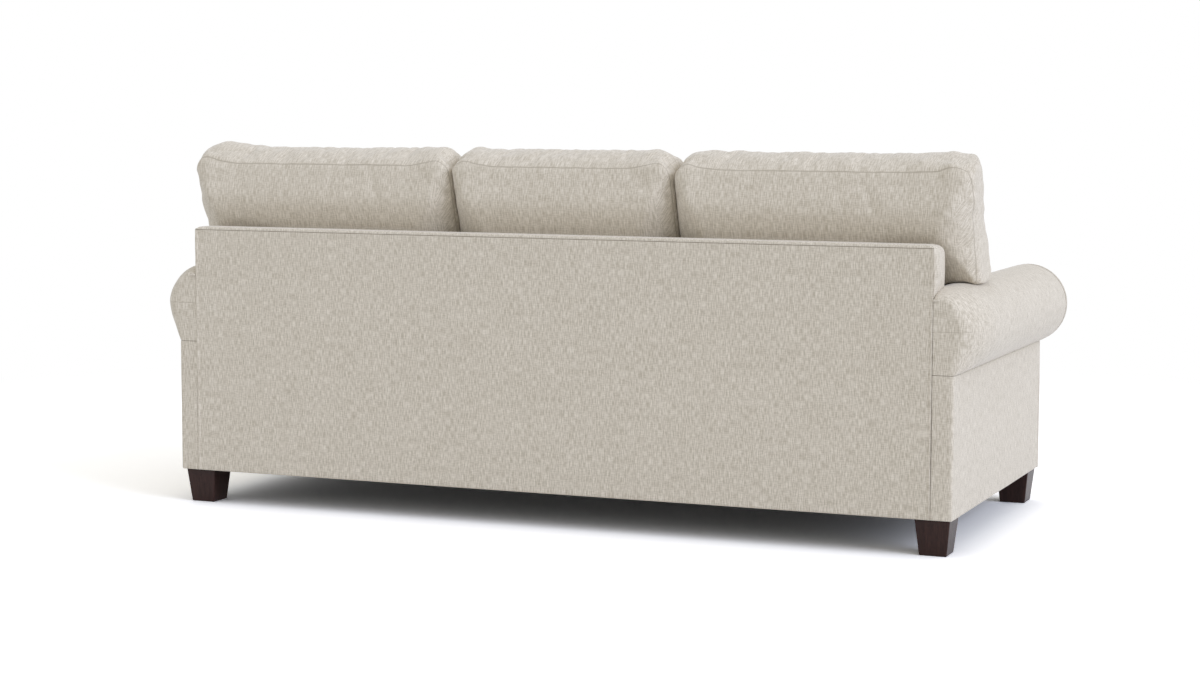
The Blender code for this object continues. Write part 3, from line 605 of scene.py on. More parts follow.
def addBackCover():
    values = {
        "half": 0.986,  # half its width, without the round of its ends
        "endRound": 0.016, "endBulge": 0.010,
        "endSeam": 0.0042,  # how far in front of the rear seam the end panel starts
        "endDeep": 0.0994, "endLowZ": 0.603, "endShares": (0.12, 0.3, 0.5, 0.7, 0.85, 1.0),
        "bulgeZ": (0.625, 0.03), "wall": 0.004, "topRound": 0.006, "frontRound": 0.050,
        "frontZ": (0.665, 0.640, 0.610), "tuckBehind": [(0.0046, 0.622), (0.0044, 0.612)],
        "tuckTop": (0.3675, 0.610), "tuckLow": (0.2401, 0.3148),
        "tuckShares": (0.06, 0.2, 0.4, 0.6, 0.8, 0.94, 1.0),
        "tuckGap": 0.0007,  # between its ends and the rolls of the arms
        "mesh": 0.022, "fill": 0.9,
    }
    rear, top = sofa["rearY"], sofa["backTop"]
    front = rear - sofa["backDeep"]
    seamZ, small, large = sofa["backSeamZ"], values["topRound"], values["frontRound"]
    half, bend = values["half"], values["endRound"]
    # across the back from the rear seam over the top and down the front: place, then which way it faces
    line = [(rear - 0.0012, seamZ - 0.0002, 1, 0), (rear - 0.0002, seamZ + 0.0002, 1, 0), (rear, seamZ + 0.0012, 1, 0)]
    for turn in (15, 40, 65, 90):
        ny, nz = math.cos(math.radians(turn)), math.sin(math.radians(turn))
        line.append((rear - small + small * ny, top - small + small * nz, ny, nz))
    line += [(y, top, 0, 1) for y in (rear - 0.02, rear - 0.037)]
    for turn in range(0, 91, 15):
        ny, nz = -math.sin(math.radians(turn)), math.cos(math.radians(turn))
        line.append((front + large + large * ny, top - large + large * nz, ny, nz))
    line += [(front, z, -1, 0) for z in values["frontZ"]]

    def across(x, inset):
        return [Vector((x, y - 0.25 * inset * min(ny, 0), z - inset * nz)) for y, z, ny, nz in line]

    lines = [across(x, 0) for x in steps(-half, half, values["mesh"])]
    seamIn, last = values["endSeam"], len(line) - 1
    bulgeLow, bulgeRun = values["bulgeZ"]
    for sign in (-1, 1):
        rings = [
            across(sign * (half + bend * math.sin(turn)), bend * (1 - math.cos(turn)))
            for turn in (math.radians(step) for step in (18, 36, 54, 72, 90))
        ]
        endX, outer = sign * (half + bend), rings[-1]
        placesY = [rear - seamIn - values["endDeep"] * k / last for k in range(last + 1)]
        base = [Vector((endX, y, values["endLowZ"])) for y in placesY]
        rings += [[a.lerp(b, share) for a, b in zip(outer, base)] for share in values["endShares"]]
        for point in (point for ring in rings for point in ring):
            deep = within((rear - seamIn - point.y) / (sofa["backDeep"] - seamIn))
            share = (abs(point.x) - half) / bend * math.sqrt(min(1.0, deep / 0.1)) * (1 - deep ** 3)
            point.x += sign * values["endBulge"] * share * within((point.z - bulgeLow) / bulgeRun)
        lines = list(reversed(rings)) + lines if sign < 0 else lines + rings
    cover = surfaceFrom("backCover", lines, (0, 0.41, 0.66))

    # the tuck starts behind the end of the cover and slopes down to the deck; its ends follow the rolls of the arms
    (highY, highZ), (lowY, lowZ) = values["tuckTop"], values["tuckLow"]
    tuckLine = [(front + behind, z) for behind, z in values["tuckBehind"]]
    tuckLine += [(highY + (lowY - highY) * share, highZ + (lowZ - highZ) * share) for share in values["tuckShares"]]

    def tuckHalf(z):
        above = max(0.0, min(z, values["tuckBehind"][-1][1]) - roll["z"])
        return roll["x"] - values["tuckGap"] - math.sqrt(roll["radius"] ** 2 - above ** 2)

    tuckLines = [[Vector((x * tuckHalf(z), y, z)) for y, z in tuckLine] for x in steps(-1, 1, values["mesh"])]
    tuck = surfaceFrom("backTuck", tuckLines, (0, 0.45, 0.45))
    for piece in (cover, tuck):
        padOut(piece, values["wall"])
    onlySelect(cover, tuck)
    bpy.ops.object.join()
    layWeave(cover)
    nodes = ("inside_back", "left_back_end", "right_back_end")
    finishPiece(cover, "frame", "upholstery", oatmealLinen, *nodes, fill=values["fill"])


def addArmRoll(sideName, side):
    values = {
        "endIn": 0.060,  # how far the soft rear end draws in at the pleat, and over how long a run
        "endRun": 0.145, "endInTop": 0.028, "cornerRound": 0.010, "wall": 0.006, "pleatZ": 0.540,
        "pleatReach": 0.016,
        "pleatOnEnd": (0, 0.0012, 0),  # how deep the pleat is drawn in
        "pleatBefore": (0.0010, 0.0006, 0), "mesh": 0.018, "turnMesh": 8.5,
        "notchY": 0.3670,  # in front of this the roll goes on down the inside of the arm
        "insideZ": (0.515, 0.495, 0.475, 0.45, 0.42, 0.38, 0.34, 0.318, 0.3065),
        "bends": (90, 80, 70, 60, 50, 41, 33, 26, 21.4, 17, 13, 9, 5, 2.5, 0),
        "endShares": (0.12, 0.28, 0.46, 0.64, 0.82, 0.96, 0.99, 1.0), "fill": 0.9,
    }
    rear, radius, corner, mesh = sofa["rearY"], roll["radius"], values["cornerRound"], values["turnMesh"]
    crease = math.degrees(math.asin((sofa["creaseZ"] - roll["z"]) / radius))
    pleat = math.degrees(math.asin((values["pleatZ"] - roll["z"]) / radius))
    over = 90 + math.degrees(math.asin((roll["x"] - sofa["stripX"]) / radius))
    # the places round the roll, in degrees: from the crease over the pleat and the top to the inside of the arm
    turns = [crease, crease + 0.5, crease + 3, crease + 8] + steps(crease + 16, pleat - 8, mesh)
    turns += [pleat - 3.5, pleat - 1.2, pleat, pleat + 1.2, pleat + 3.5] + steps(pleat + 9, over - 4, mesh) + [over]
    endCount = len(turns)
    turns += steps(over + 6, 180, 8)

    def circlePoint(turn):
        return onRoll(math.radians(turn), radius)

    def endPoint(turn):
        # the outline of the flat rear end: straight from the crease to the pleat, round above it
        if turn < pleat:
            tip, share = endPoint(pleat), (turn - crease) / (pleat - crease)
            low = (circlePoint(crease)[0] - corner, circlePoint(crease)[1])
            return tuple(a + (b - a) * share for a, b in zip(low, tip))
        depth = values["endIn"] + (values["endInTop"] - values["endIn"]) * ease((turn - 35) / 55)
        if turn > 90:
            return circlePoint(turn)[0], circlePoint(turn)[1] - depth
        return onRoll(math.radians(turn), radius - depth)

    def rollPoint(turn, bend):
        # bend is 0 on the flat end and 90 degrees where the end meets the full roll
        run = corner + (values["endRun"] - corner) * within((turn - crease) / 30)
        along = values["endRun"] * (1 - math.cos(math.radians(bend)))
        share = math.sqrt(1 - (1 - min(1.0, along / run)) ** 2)
        x, z = (a + (b - a) * share for a, b in zip(endPoint(turn), circlePoint(turn)))
        return Vector((side * x, rear - along, z))

    def armLines(shownTurns, rowsY):
        # over the roll and down the inside of the arm
        outline = [circlePoint(turn) for turn in shownTurns] + [(sofa["innerX"], z) for z in values["insideZ"]]
        return [[Vector((side * x, y, z)) for x, z in outline] for y in rowsY]

    taperY = rear - values["endRun"]
    front = armLines(turns, steps(sofa["armFrontY"], taperY, values["mesh"]))
    inside = armLines(turns[endCount - 1:], steps(taperY, values["notchY"], values["mesh"]))
    back = [[rollPoint(turn, bend) for turn in turns[:endCount]] for bend in values["bends"]]
    lowX = side * sofa["stripX"]
    back += [
        [Vector((lowX + (point.x - lowX) * (1 - share), rear, point.z)) for point in back[-1]]
        for share in values["endShares"]
    ]
    pleatIndex, pleatPlaces = turns.index(pleat), set()
    for line in back:
        spot = line[pleatIndex]
        if spot.y > rear - values["pleatReach"]:
            x, y, z = values["pleatOnEnd"] if spot.y > rear - 0.0005 else values["pleatBefore"]
            line[pleatIndex] = spot - Vector((side * x, y, z))
            pleatPlaces.add(tuple(line[pleatIndex]))

    # the pleat is marked as a seam, which the cloth paints darker as painted shade in its fold, besides the fold drawn
    # in the shape
    def onPleat(point):
        return float(tuple(point) in pleatPlaces)

    arm = surfaceFrom(f"{sideName}ArmRoll", front, (side * roll["x"], 0, roll["z"]))
    end = surfaceFrom(f"{sideName}ArmRollEnd", back, (side * roll["x"], 0.38, roll["z"]), onPleat)
    tuck = surfaceFrom(f"{sideName}ArmRollTuck", inside, (side * roll["x"], 0.35, 0.45))
    onlySelect(arm, end, tuck)
    bpy.ops.object.join()
    bpy.ops.object.mode_set(mode="EDIT")
    bpy.ops.mesh.select_all(action="SELECT")
    bpy.ops.mesh.remove_doubles(threshold=0.00005)
    bpy.ops.object.mode_set(mode="OBJECT")
    padOut(arm, values["wall"])

    def girth(points):
        angle = np.arctan2(points[:, 2] - roll["z"], side * points[:, 0] - roll["x"])
        onInside = (points[:, 2] < roll["z"]) & (side * points[:, 0] < roll["x"])
        return np.where(onInside, radius * math.pi + roll["z"] - points[:, 2], radius * angle)

    layWeave(arm, girth=girth)
    finishPiece(arm, "frame", "upholstery", oatmealLinen, f"{sideName}_arm_cover", fill=values["fill"])


def addArmPanel(sideName, side):
    # one cover round the outside of the arm and its rear edge, up to the crease under the roll
    values = {
        "wall": 0.004, "cornerRound": 0.008, "rearX": (1.016, 1.030, 1.040), "top": 0.4342,
        # how far above the lower edge or below the top one, and how deep the cloth folds in there
        "lowEdge": [(0.0, 0.0032), (0.0008, 0.0010), (0.003, 0.0002), (0.008, 0.0)],
        "topEdge": [(0.008, 0.0), (0.0007, 0.0), (0.0, 0.0004)], "mesh": 0.024, "ripple": (0.0005, 0.16, 0),
        "fill": 0.95,
    }
    rear, outer, bend = sofa["rearY"], sofa["outerX"], values["cornerRound"]
    strip, frontY, mesh = sofa["stripX"], sofa["armFrontY"], values["mesh"]
    plan = [(strip, rear - 0.0005), (strip + 0.0003, rear - 0.0001), (strip + 0.004, rear)]
    plan += [(x, rear) for x in values["rearX"]]
    plan += [
        (outer - bend + bend * math.sin(turn), rear - bend + bend * math.cos(turn))
        for turn in (math.radians(step) for step in (0, 18, 36, 54, 72, 90))
    ]
    plan += [(outer, y) for y in steps(rear - bend - 0.012, frontY + 0.006, mesh)]
    plan += [(outer - 0.0002, frontY + 0.0015), (outer - 0.0012, frontY)]

    def folded(x, y, z, fold):
        # the edges turn in: at the side across, at the rear along
        inX, inY = fold if y < rear - 0.004 else 0, fold if y > rear - bend else 0
        return Vector((side * (x - inX), y - inY, z))

    rows = panelRows(sofa["legTop"], values["top"], 0.025, 0.02, values)
    lines = [[folded(x, y, z, fold) for x, y in plan] for z, fold in rows]
    panel = surfaceFrom(f"{sideName}ArmPanel", lines, (side * 0.95, 0, 0.25))
    nodes = (f"{sideName}_outside_arm", f"{sideName}_arm_rear_facing")
    finishPanel(panel, values, "upholstery", oatmealLinen, *nodes)


def drawOutline(name, outline, side, y):
    # left in edit mode with the filled outline selected
    bpy.ops.object.select_all(action="DESELECT")
    bpy.ops.mesh.primitive_plane_add(size=0.01, location=(side * outline[0][0], y, outline[0][1]))
    piece = bpy.context.active_object
    piece.name = piece.data.name = name
    bpy.ops.object.transform_apply(location=True, rotation=True, scale=True)
    bpy.ops.object.mode_set(mode="EDIT")
    bpy.ops.mesh.select_all(action="SELECT")
    bpy.ops.mesh.merge(type="CENTER")
    for here, there in zip(outline, outline[1:]):
        step = (side * (there[0] - here[0]), 0, there[1] - here[1])
        bpy.ops.mesh.extrude_region_move(TRANSFORM_OT_translate={"value": step})
    bpy.ops.mesh.select_all(action="SELECT")
    bpy.ops.mesh.edge_face_add()
    return piece


def addRearBoard(sideName, side):
    # the board inside the soft rear end of the arm is cut smaller than the roll, so that the end can taper
    values = {
        "outerX": 1.042, "innerX": 0.998, "low": 0.1296, "radius": 0.058, "rearY": 0.4550, "thick": 0.025,
        "edgeRound": 0.0015, "turnMesh": 0.14, "sharpAbove": 35,
    }
    radius = values["radius"]
    start = -math.acos((values["outerX"] - roll["x"]) / radius)
    end = math.acos((values["innerX"] - roll["x"]) / radius)
    outline = [(values["outerX"], values["low"])]
    outline += [onRoll(turn, radius) for turn in steps(start, end, values["turnMesh"])]
    outline += [(values["innerX"], values["low"])]
    board = drawOutline(f"{sideName}ArmRearScroll", outline, side, values["rearY"])
    bpy.ops.mesh.extrude_region_move(TRANSFORM_OT_translate={"value": (0, -values["thick"], 0)})
    bpy.ops.mesh.select_all(action="SELECT")
    bpy.ops.mesh.normals_make_consistent(inside=False)
    bpy.ops.object.mode_set(mode="OBJECT")
    edge = board.modifiers.new("easedEdges", "BEVEL")
    edge.width = values["edgeRound"]
    edge.segments = 2
    applyAll(board)
    inOrder(board)
    finishPiece(board, "frame", "frame_wood", boardAlongZ, f"{sideName}_arm_rear_board")
    onlySelect(board)
    bpy.ops.object.shade_smooth_by_angle(angle=math.radians(values["sharpAbove"]))


def addArmFacing(sideName, side):
    # the keyhole-shaped panel on the front of the arm
    values = {
        "y": -0.4558, "thick": 0.0150, "edgeRound": 0.004,
        "edgeShares": ((0.15, 0.45), (0.35, 0.35), (0.5, 0.2)),  # of its rounding: inwards and forwards
        "seamIn": 0.010, "seamStep": 0.0004, "flatIn": 0.018,
        "under": 0.0006,  # how much smaller than the arm it is, outside
        "underInside": 0.0004, "turnMesh": 0.13, "sharpAbove": 50, "fill": 0.9,
    }
    radius, edge = roll["radius"] - values["under"], values["edgeRound"]
    outer, inner = sofa["outerX"] - values["under"], sofa["innerX"] + values["underInside"]
    low = sofa["legTop"] + values["underInside"]
    crease = math.asin((sofa["creaseZ"] - roll["z"]) / radius)
    outline = [(outer, z) for z in (low, 0.20, 0.32)]
    outline += [onRoll(turn, radius) for turn in steps(crease, math.pi, values["turnMesh"])]
    outline += [(inner, z) for z in (0.43, 0.32, 0.20, low)]
    facing = drawOutline(f"{sideName}ArmFacing", outline, side, values["y"])
    bpy.ops.mesh.extrude_region_move(TRANSFORM_OT_translate={"value": (0, -(values["thick"] - edge), 0)})
    for share, rise in values["edgeShares"]:
        bpy.ops.mesh.inset(thickness=edge * share)
        bpy.ops.transform.translate(value=(0, -edge * rise, 0))
    bpy.ops.mesh.inset(thickness=values["seamIn"])
    bpy.ops.transform.translate(value=(0, -values["seamStep"], 0))
    bpy.ops.mesh.inset(thickness=values["flatIn"])
    bpy.ops.object.mode_set(mode="OBJECT")
    inOrder(facing)
    faceOut(facing, (side * 0.99, -0.4640, 0.3))
    facing.data.attributes.new("seam", "FLOAT", "POINT")
    layWeave(facing)
    finishPiece(facing, "frame", "upholstery", oatmealLinen, f"{sideName}_arm_front_facing")
    onlySelect(facing)
    bpy.ops.object.shade_smooth_by_angle(angle=math.radians(values["sharpAbove"]))


def addFrontBorder():
    values = {
        "half": 0.9138, "low": 0.0894, "high": 0.3346, "y": -0.4515, "wall": 0.0115,
        # how far above the lower edge or below the top one, and how deep the cloth folds in there
        "lowEdge": [(0.0, 0.0034), (0.001, 0.0010), (0.004, 0.0)],
        "topEdge": [(0.006, 0.0), (0.0022, 0.0010), (0.0, 0.0040)], "mesh": 0.024, "ripple": (0.0010, 0.15, 1),
        "fill": 0.9,
    }
    places = steps(-values["half"], values["half"], values["mesh"])
    rows = panelRows(values["low"], values["high"], 0.02, 0.02, values)
    lines = [[Vector((x, values["y"] + fold, z)) for x in places] for z, fold in rows]
    border = surfaceFrom("frontBorder", lines, (0, 0, 0.2))
    finishPanel(border, values, "upholstery", oatmealLinen, "front_border")


def addSeatDeck():
    values = {
        "half": 0.9138, "frontY": -0.4388, "rearY": 0.2355, "top": 0.335, "wall": 0.024,
        "lipY": -0.335,  # the seam between the front lip and the deck
        # how far from the front edge or from that seam, and how far the cloth drops there
        "frontEdge": [(0.0, 0.006), (0.003, 0.0015), (0.010, 0.0003)],
        "seamEdge": [(-0.003, 0.0008), (0.0, 0.0022), (0.003, 0.0008)], "lipDrop": 0.0004, "deckDrop": 0.0006,
        "mesh": 0.026, "fill": 0.8,
    }
    half, lipY, mesh = values["half"], values["lipY"], values["mesh"]
    rows = [(values["frontY"] + run, drop) for run, drop in values["frontEdge"]]
    rows += [(y, values["lipDrop"]) for y in steps(-0.41, lipY - 0.012, mesh)]
    rows += [(lipY + run, drop) for run, drop in values["seamEdge"]]
    rows += [(y, values["deckDrop"]) for y in steps(lipY + 0.015, values["rearY"], mesh)]
    lines = [[Vector((x, y, values["top"] - drop)) for x in steps(-half, half, mesh)] for y, drop in rows]
    # the seam at the lip is marked, and the deck cloth paints it darker there as painted shade
    deck = surfaceFrom("seatDeck", lines, (0, -0.1, 0.1), lambda point: float(abs(point.y - lipY) < 0.0005))
    finishPanel(deck, values, "deck_cloth", deckDuck, "seat_deck")


def addDustCover():
    values = {"half": 1.0495, "frontY": -0.4388, "rearY": 0.4545, "z": 0.0899, "sag": 0.0004, "mesh": 0.05}
    half, front, rear, mesh = (values[key] for key in ("half", "frontY", "rearY", "mesh"))
    z = values["z"] - values["sag"]
    lines = [[Vector((x, y, z)) for x in steps(-half, half, mesh)] for y in steps(front, rear, mesh)]
    cover = surfaceFrom("dustCover", lines, (0, 0, 1))
    layWeave(cover)
    finishPiece(cover, "frame", "dust_cloth", dustCloth, "dust_cover")


def addBlock(name, columns, rows, layers, cutFrom=None):
    # a grid one unit wide and high, extruded through in layers; X runs across, Y up and Z through
    bpy.ops.object.select_all(action="DESELECT")
    bpy.ops.mesh.primitive_grid_add(x_subdivisions=columns, y_subdivisions=rows, size=1, location=(0.5, 0.5, 0))
    block = bpy.context.active_object
    block.name = block.data.name = name
    bpy.ops.object.transform_apply(location=True, rotation=True, scale=True)
    bpy.ops.object.mode_set(mode="EDIT")
    if cutFrom:
        bpy.ops.mesh.select_mode(type="FACE")
        bpy.ops.mesh.select_all(action="DESELECT")
        bpy.ops.object.mode_set(mode="OBJECT")
        for face in block.data.polygons:
            face.select = face.center.x > cutFrom[0] and face.center.y < cutFrom[1]
        bpy.ops.object.mode_set(mode="EDIT")
        bpy.ops.mesh.delete(type="FACE")
    bpy.ops.mesh.select_all(action="SELECT")
    for layer in range(layers):
        bpy.ops.mesh.extrude_region_move(TRANSFORM_OT_translate={"value": (0, 0, 1 / layers)})
    bpy.ops.mesh.select_all(action="SELECT")
    bpy.ops.mesh.normals_make_consistent(inside=False)
    bpy.ops.mesh.select_mode(type="VERT")
    bpy.ops.object.mode_set(mode="OBJECT")
    inOrder(block)
    return block


def crown(distance, height, reach):
    return height * (1 - (1 - min(1.0, max(0.0, distance) / reach)) ** 2)


def roundCorner(a, b, radius):
    # distances from two edges of a panel; the corner between them is drawn round
    if a >= radius or b >= radius:
        return 0.0, 0.0
    p, q = 1 - a / radius, 1 - b / radius
    return radius * p * (1 - math.sqrt(1 - q * q / 2)), radius * q * (1 - math.sqrt(1 - p * p / 2))


cushionCover = {
    "quality": 6, "mass": 0.25, "stretch": 12, "shear": 6, "bending": 0.4, "pressure": 4.0, "fullness": 0.03,
    "frames": 20,
    "cap": 0.012,  # how far the filling may move the cover, and how far beside a neighbour
    "capAtNeighbours": 0.0025, "seamDepth": 0.0014, "mitreMark": 0.86, "fold": 0.030, "foldLength": 0.11,
    "foldDepth": 0.0065,
}


def swell(piece, seams, values):
    # the cover blown up by its filling, held along its seams; then no point may move past its limit
    start, normals = readPoints(piece), readPoints(piece, "normal")
    held = piece.vertex_groups.new(name="seams")
    held.add(seams, 1.0, "REPLACE")
    cloth = piece.modifiers.new("cover", "CLOTH")
    given = cloth.settings
    given.quality = values["quality"]
    given.mass = values["mass"]
    given.tension_stiffness = given.compression_stiffness = values["stretch"]
    given.shear_stiffness = values["shear"]
    given.bending_stiffness = values["bending"]
    given.use_pressure = True
    given.uniform_pressure_force = values["pressure"]
    given.vertex_group_mass = "seams"
    given.shrink_min = -values["fullness"]
    given.effector_weights.gravity = 0
    cloth.collision_settings.use_collision = False
    cloth.point_cache.frame_start, cloth.point_cache.frame_end = 1, values["frames"]
    for number in range(1, values["frames"] + 1):
        scene.frame_set(number)
    applyAll(piece)
    scene.frame_set(1)
    piece.vertex_groups.clear()
    moved = readPoints(piece) - start
    free = (normals[:, 1] < -0.45) | (normals[:, 2] > 0.6)
    limit = np.where(free, values["cap"], values["capAtNeighbours"])
    far = np.linalg.norm(moved, axis=1)
    moved *= (np.minimum(far, limit) / np.maximum(far, 1e-9))[:, None]
    writePoints(piece, start + moved)


def pucker(points, normals, pulls, values):
    # short folds that run away from the seams, strongest near the corners
    short, long = values["fold"], values["foldLength"]
    for index, (alongX, alongZ) in enumerate(pulls):
        x, y, z = points[index]
        fold = alongX * noise.noise(Vector((x / short, y / long, z / long)))
        fold += alongZ * noise.noise(Vector((x / long + 7, y / long, z / short)))
        points[index] += normals[index] * fold * values["foldDepth"]


def finishCushion(piece, seams, mitres, values, tilt, keepInside, pulls):
    # the seams and mitres are marked; the mark presses in a groove and also paints the cloth darker there as painted
    # shade
    mark = piece.data.attributes.new("seam", "FLOAT", "POINT")
    shares = np.zeros(len(piece.data.vertices))
    shares[sorted(seams)] = 1.0
    shares[sorted(mitres)] = values["mitreMark"]
    mark.data.foreach_set("value", shares)
    swell(piece, sorted(seams), values)
    points, normals = readPoints(piece), readPoints(piece, "normal")
    points -= normals * (shares * values["seamDepth"])[:, None]
    pucker(points, normals, pulls, values)
    keepInside(points)
    writePoints(piece, points)
    refine(piece)
    points = readPoints(piece)
    keepInside(points)
    writePoints(piece, points)
    layWeave(piece, tilt=tilt)


def addSeatCushion(sideName, middle):
    values = {
        "width": 0.6097, "gap": 0.0015, "frontY": -0.4557, "rearY": 0.2417, "low": 0.3354, "high": 0.4773,
        "crown": 0.0158, "reach": 0.085, "bulge": 0.0042, "draw": 0.003, "cornerRound": 0.020,
        "pull": (0.3, 0.03, 0.06),  # how strong the folds are, and how soon they fade from the ends and the sides
        "clearFrom": 0.05,  # in front of this the crown is free of the back cushion
        "clearRun": 0.12, "clearRise": 0.012, "sideReach": 0.0012, "columns": 60, "rows": 68, "layers": 13,
        "fill": 0.85,
    }
    half = values["width"] / 2 - values["gap"] - values["bulge"]
    front, rear = values["frontY"], values["rearY"]
    block = addBlock(f"{sideName}SeatCushion", values["columns"], values["rows"], values["layers"])
    seams, pulls = set(), []
    strength, endRun, sideRun = values["pull"]
    points = readPoints(block)
    for index, (across, along, up) in enumerate(points.tolist()):
        x, y = half * (2 * across - 1), front + (rear - front) * along
        z = values["low"] + (values["high"] - values["low"]) * up
        atSide, atEnd = (across > 0.999) - (across < 0.001), (along > 0.999) - (along < 0.001)
        onPanel = (up > 0.999) - (up < 0.001)
        toSide, toEnd = half - abs(x), min(y - front, rear - y)
        if onPanel == 1:
            z += crown(min(toSide, toEnd), values["crown"], values["reach"])
        if onPanel and (atSide or atEnd):
            seams.add(index)
        inX, inY = roundCorner(toSide, toEnd, values["cornerRound"])
        x -= math.copysign(inX, x)
        y += inY if y < (front + rear) / 2 else -inY
        bulge = values["bulge"] * (1 - (2 * up - 1) ** 2)
        x += atSide * (bulge - values["draw"] * (1 - (2 * along - 1) ** 2))
        y += atEnd * (bulge - values["draw"] * (1 - (2 * across - 1) ** 2))
        pulls.append((strength * math.exp(-max(toEnd, 0) / endRun) * math.exp(-toSide / sideRun), 0.0))
        points[index] = (middle + x, y, z)
    writePoints(block, points)
    node = f"{sideName}_seat_cushion"
    lowest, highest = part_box(node)

    def keepInside(points):
        points[:, 2] = np.maximum(points[:, 2], lowest.z)
        share = np.clip((values["clearFrom"] - points[:, 1]) / values["clearRun"], 0, 1)
        points[:, 2] = np.minimum(points[:, 2], highest.z - 0.0001 + values["clearRise"] * share)
        points[:, 0] = np.clip(points[:, 0], lowest.x - values["sideReach"], highest.x + values["sideReach"])
        points[:, 1] = np.minimum(points[:, 1], highest.y)

    finishCushion(block, seams, (), cushionCover, 0.0, keepInside, pulls)
    finishPiece(block, node, "upholstery", oatmealLinen, node, fill=values["fill"])


def addBackCushion(sideName, side, near, far, earEnd=0.0):
    values = {
        "thick": 0.140, "low": 0.4936,
        "seamZ": 0.907,  # the rear seam, for its lean
        "seamRun": 0.105, "seamRise": 0.043, "recline": math.radians(18), "frontCrown": 0.045,
        "rearCrown": 0.050, "reach": 0.180,
        "sideReach": 1.7,  # the crown reaches its height this much sooner from the sides
        "gap": 0.0012, "bulge": 0.001, "endBulge": 0.010, "draw": 0.001, "boxCrown": 0.005,
        "rearTopZ": 0.9062,  # the seams along the top, halfway
        "frontTopZ": 0.9480,
        "rearRise": 0.011,  # and how much they rise to the corners
        "frontRise": 0.0035, "riseRun": 0.14,
        "peak": (0.006, 0.042, 0.022),  # a peak of the rear seam: how high, how far from the corner, how wide
        # the rounding of the top corners at the rear seam, halfway and at the front seam
        "endRounds": (0.036, 0.009, 0.024), "towardsRightRounds": (0.040, 0.038, 0.052),
        "towardsLeftRounds": (0.036, 0.058, 0.092),
        # the ear
        "earZ": 0.6399, "earLow": 0.604, "earSmaller": 0.006, "earRound": 0.022, "earHigh": 0.26,
        "lowSideX": 1.0605, "rearSideX": 1.064, "frontSideX": 1.048,
        "hump": 0.0035 if side > 0 and earEnd else 0.0,  # at the top corners, between the seams
        "humpRun": 0.04, "humpAt": (0.030, 0.05),
        "roundOver": 0.010,  # how far the back of it rounds over the sofa's back, at what height and how high
        "roundOverZ": (0.815, 0.045), "roundOverRun": 0.05,
        "fill": 0.028,  # how far it fills the corner between the inside of the arm and the roll
        "fillRun": 0.09, "fillFade": 0.11, "dropFrom": (0.50, 0.14), "dropFade": 0.10,
        # how strong the folds are and over how long a run they fade
        "pullAlong": (0.3, 0.16), "pullUp": (0.6, 0.20), "pullRun": 0.028, "pullBesideNeighbour": 0.4,
        "clear": 0.0010,  # what stays between it and the roll when it is drawn, and at the end
        "clearAtEnd": 0.0006, "rearLimit": 0.3665, "overBackZ": (0.744, 0.03), "overBack": 0.04,
        "sideLimit": 0.0025, "cell": 0.0092, "layers": 14, "padding": 0.75,
    }
    lean, fill, earZ, backTop = values["recline"], values["fill"], values["earZ"], sofa["backTop"]
    near += values["gap"] + values["bulge"]
    far -= values["gap"] + (0.0 if earEnd else values["bulge"])
    width = far - near
    earWidth = earEnd - values["earSmaller"] - far if earEnd else 0.0
    reachTo = width + earWidth
    mainColumns, earColumns = round(width / values["cell"]), round(earWidth / values["cell"])
    lowRows = round((earZ - values["low"]) / values["cell"])
    highRows = round((values["seamZ"] - earZ) / values["cell"])
    columns, rows = mainColumns + earColumns, lowRows + highRows
    notch = (mainColumns / columns, lowRows / rows) if earEnd else None
    block = addBlock(f"{sideName}BackCushion", columns, rows, values["layers"], notch)
    seams, mitres, pulls = set(), set(), []
    points = readPoints(block)
    clearRadius = roll["radius"] + values["clear"]

    def rollTop(x):
        return roll["z"] + math.sqrt(max(0.0, clearRadius ** 2 - (x - roll["x"]) ** 2))

    def rollInside(z):
        return roll["x"] - math.sqrt(max(0.0, clearRadius ** 2 - max(0.0, z - roll["z"]) ** 2))

    cornerX = sofa["innerX"] + fill
    cornerDrop = earZ - rollTop(cornerX)

    def earBottom(u):
        # the ear lies on the roll of the arm
        return max(rollTop(near + u + fill * (1 - (u - width) / earWidth)), values["earLow"])

    for index, (across, up, through) in enumerate(points.tolist()):
        # where the point is on the panel: u across from the inner side, z up, and through from rear to front
        column, row = across * columns, up * rows
        inEar = column > mainColumns + 0.5
        u = width + earWidth * (column - mainColumns) / earColumns if inEar else width * column / mainColumns
        lastU = reachTo if earEnd and row > lowRows - 0.5 else width
        bottom = earBottom(u) if inEar else values["low"]
        toEnd = min(u, reachTo - u)
        rise = ease(1 - toEnd / values["riseRun"])
        peakHigh, peakAt, peakWide = values["peak"]
        peak = peakHigh * math.exp(-(((toEnd - peakAt) / peakWide) ** 2)) * (1 - through)
        rearTop = values["rearTopZ"] + values["rearRise"] * rise + peak
        frontTop = values["frontTopZ"] + values["frontRise"] * rise
        top = rearTop + through * (frontTop - rearTop)
        floorZ = bottom if inEar else earZ
        if row < lowRows:
            z = values["low"] + (earZ - values["low"]) * row / lowRows
        else:
            z = floorZ + (top - floorZ) * (row - lowRows) / highRows
        seamZ = values["seamZ"]
        run = values["seamRun"] + (seamZ - min(z, seamZ + values["seamRise"] * through)) * math.tan(lean)
        run += through * values["thick"] / math.cos(lean)

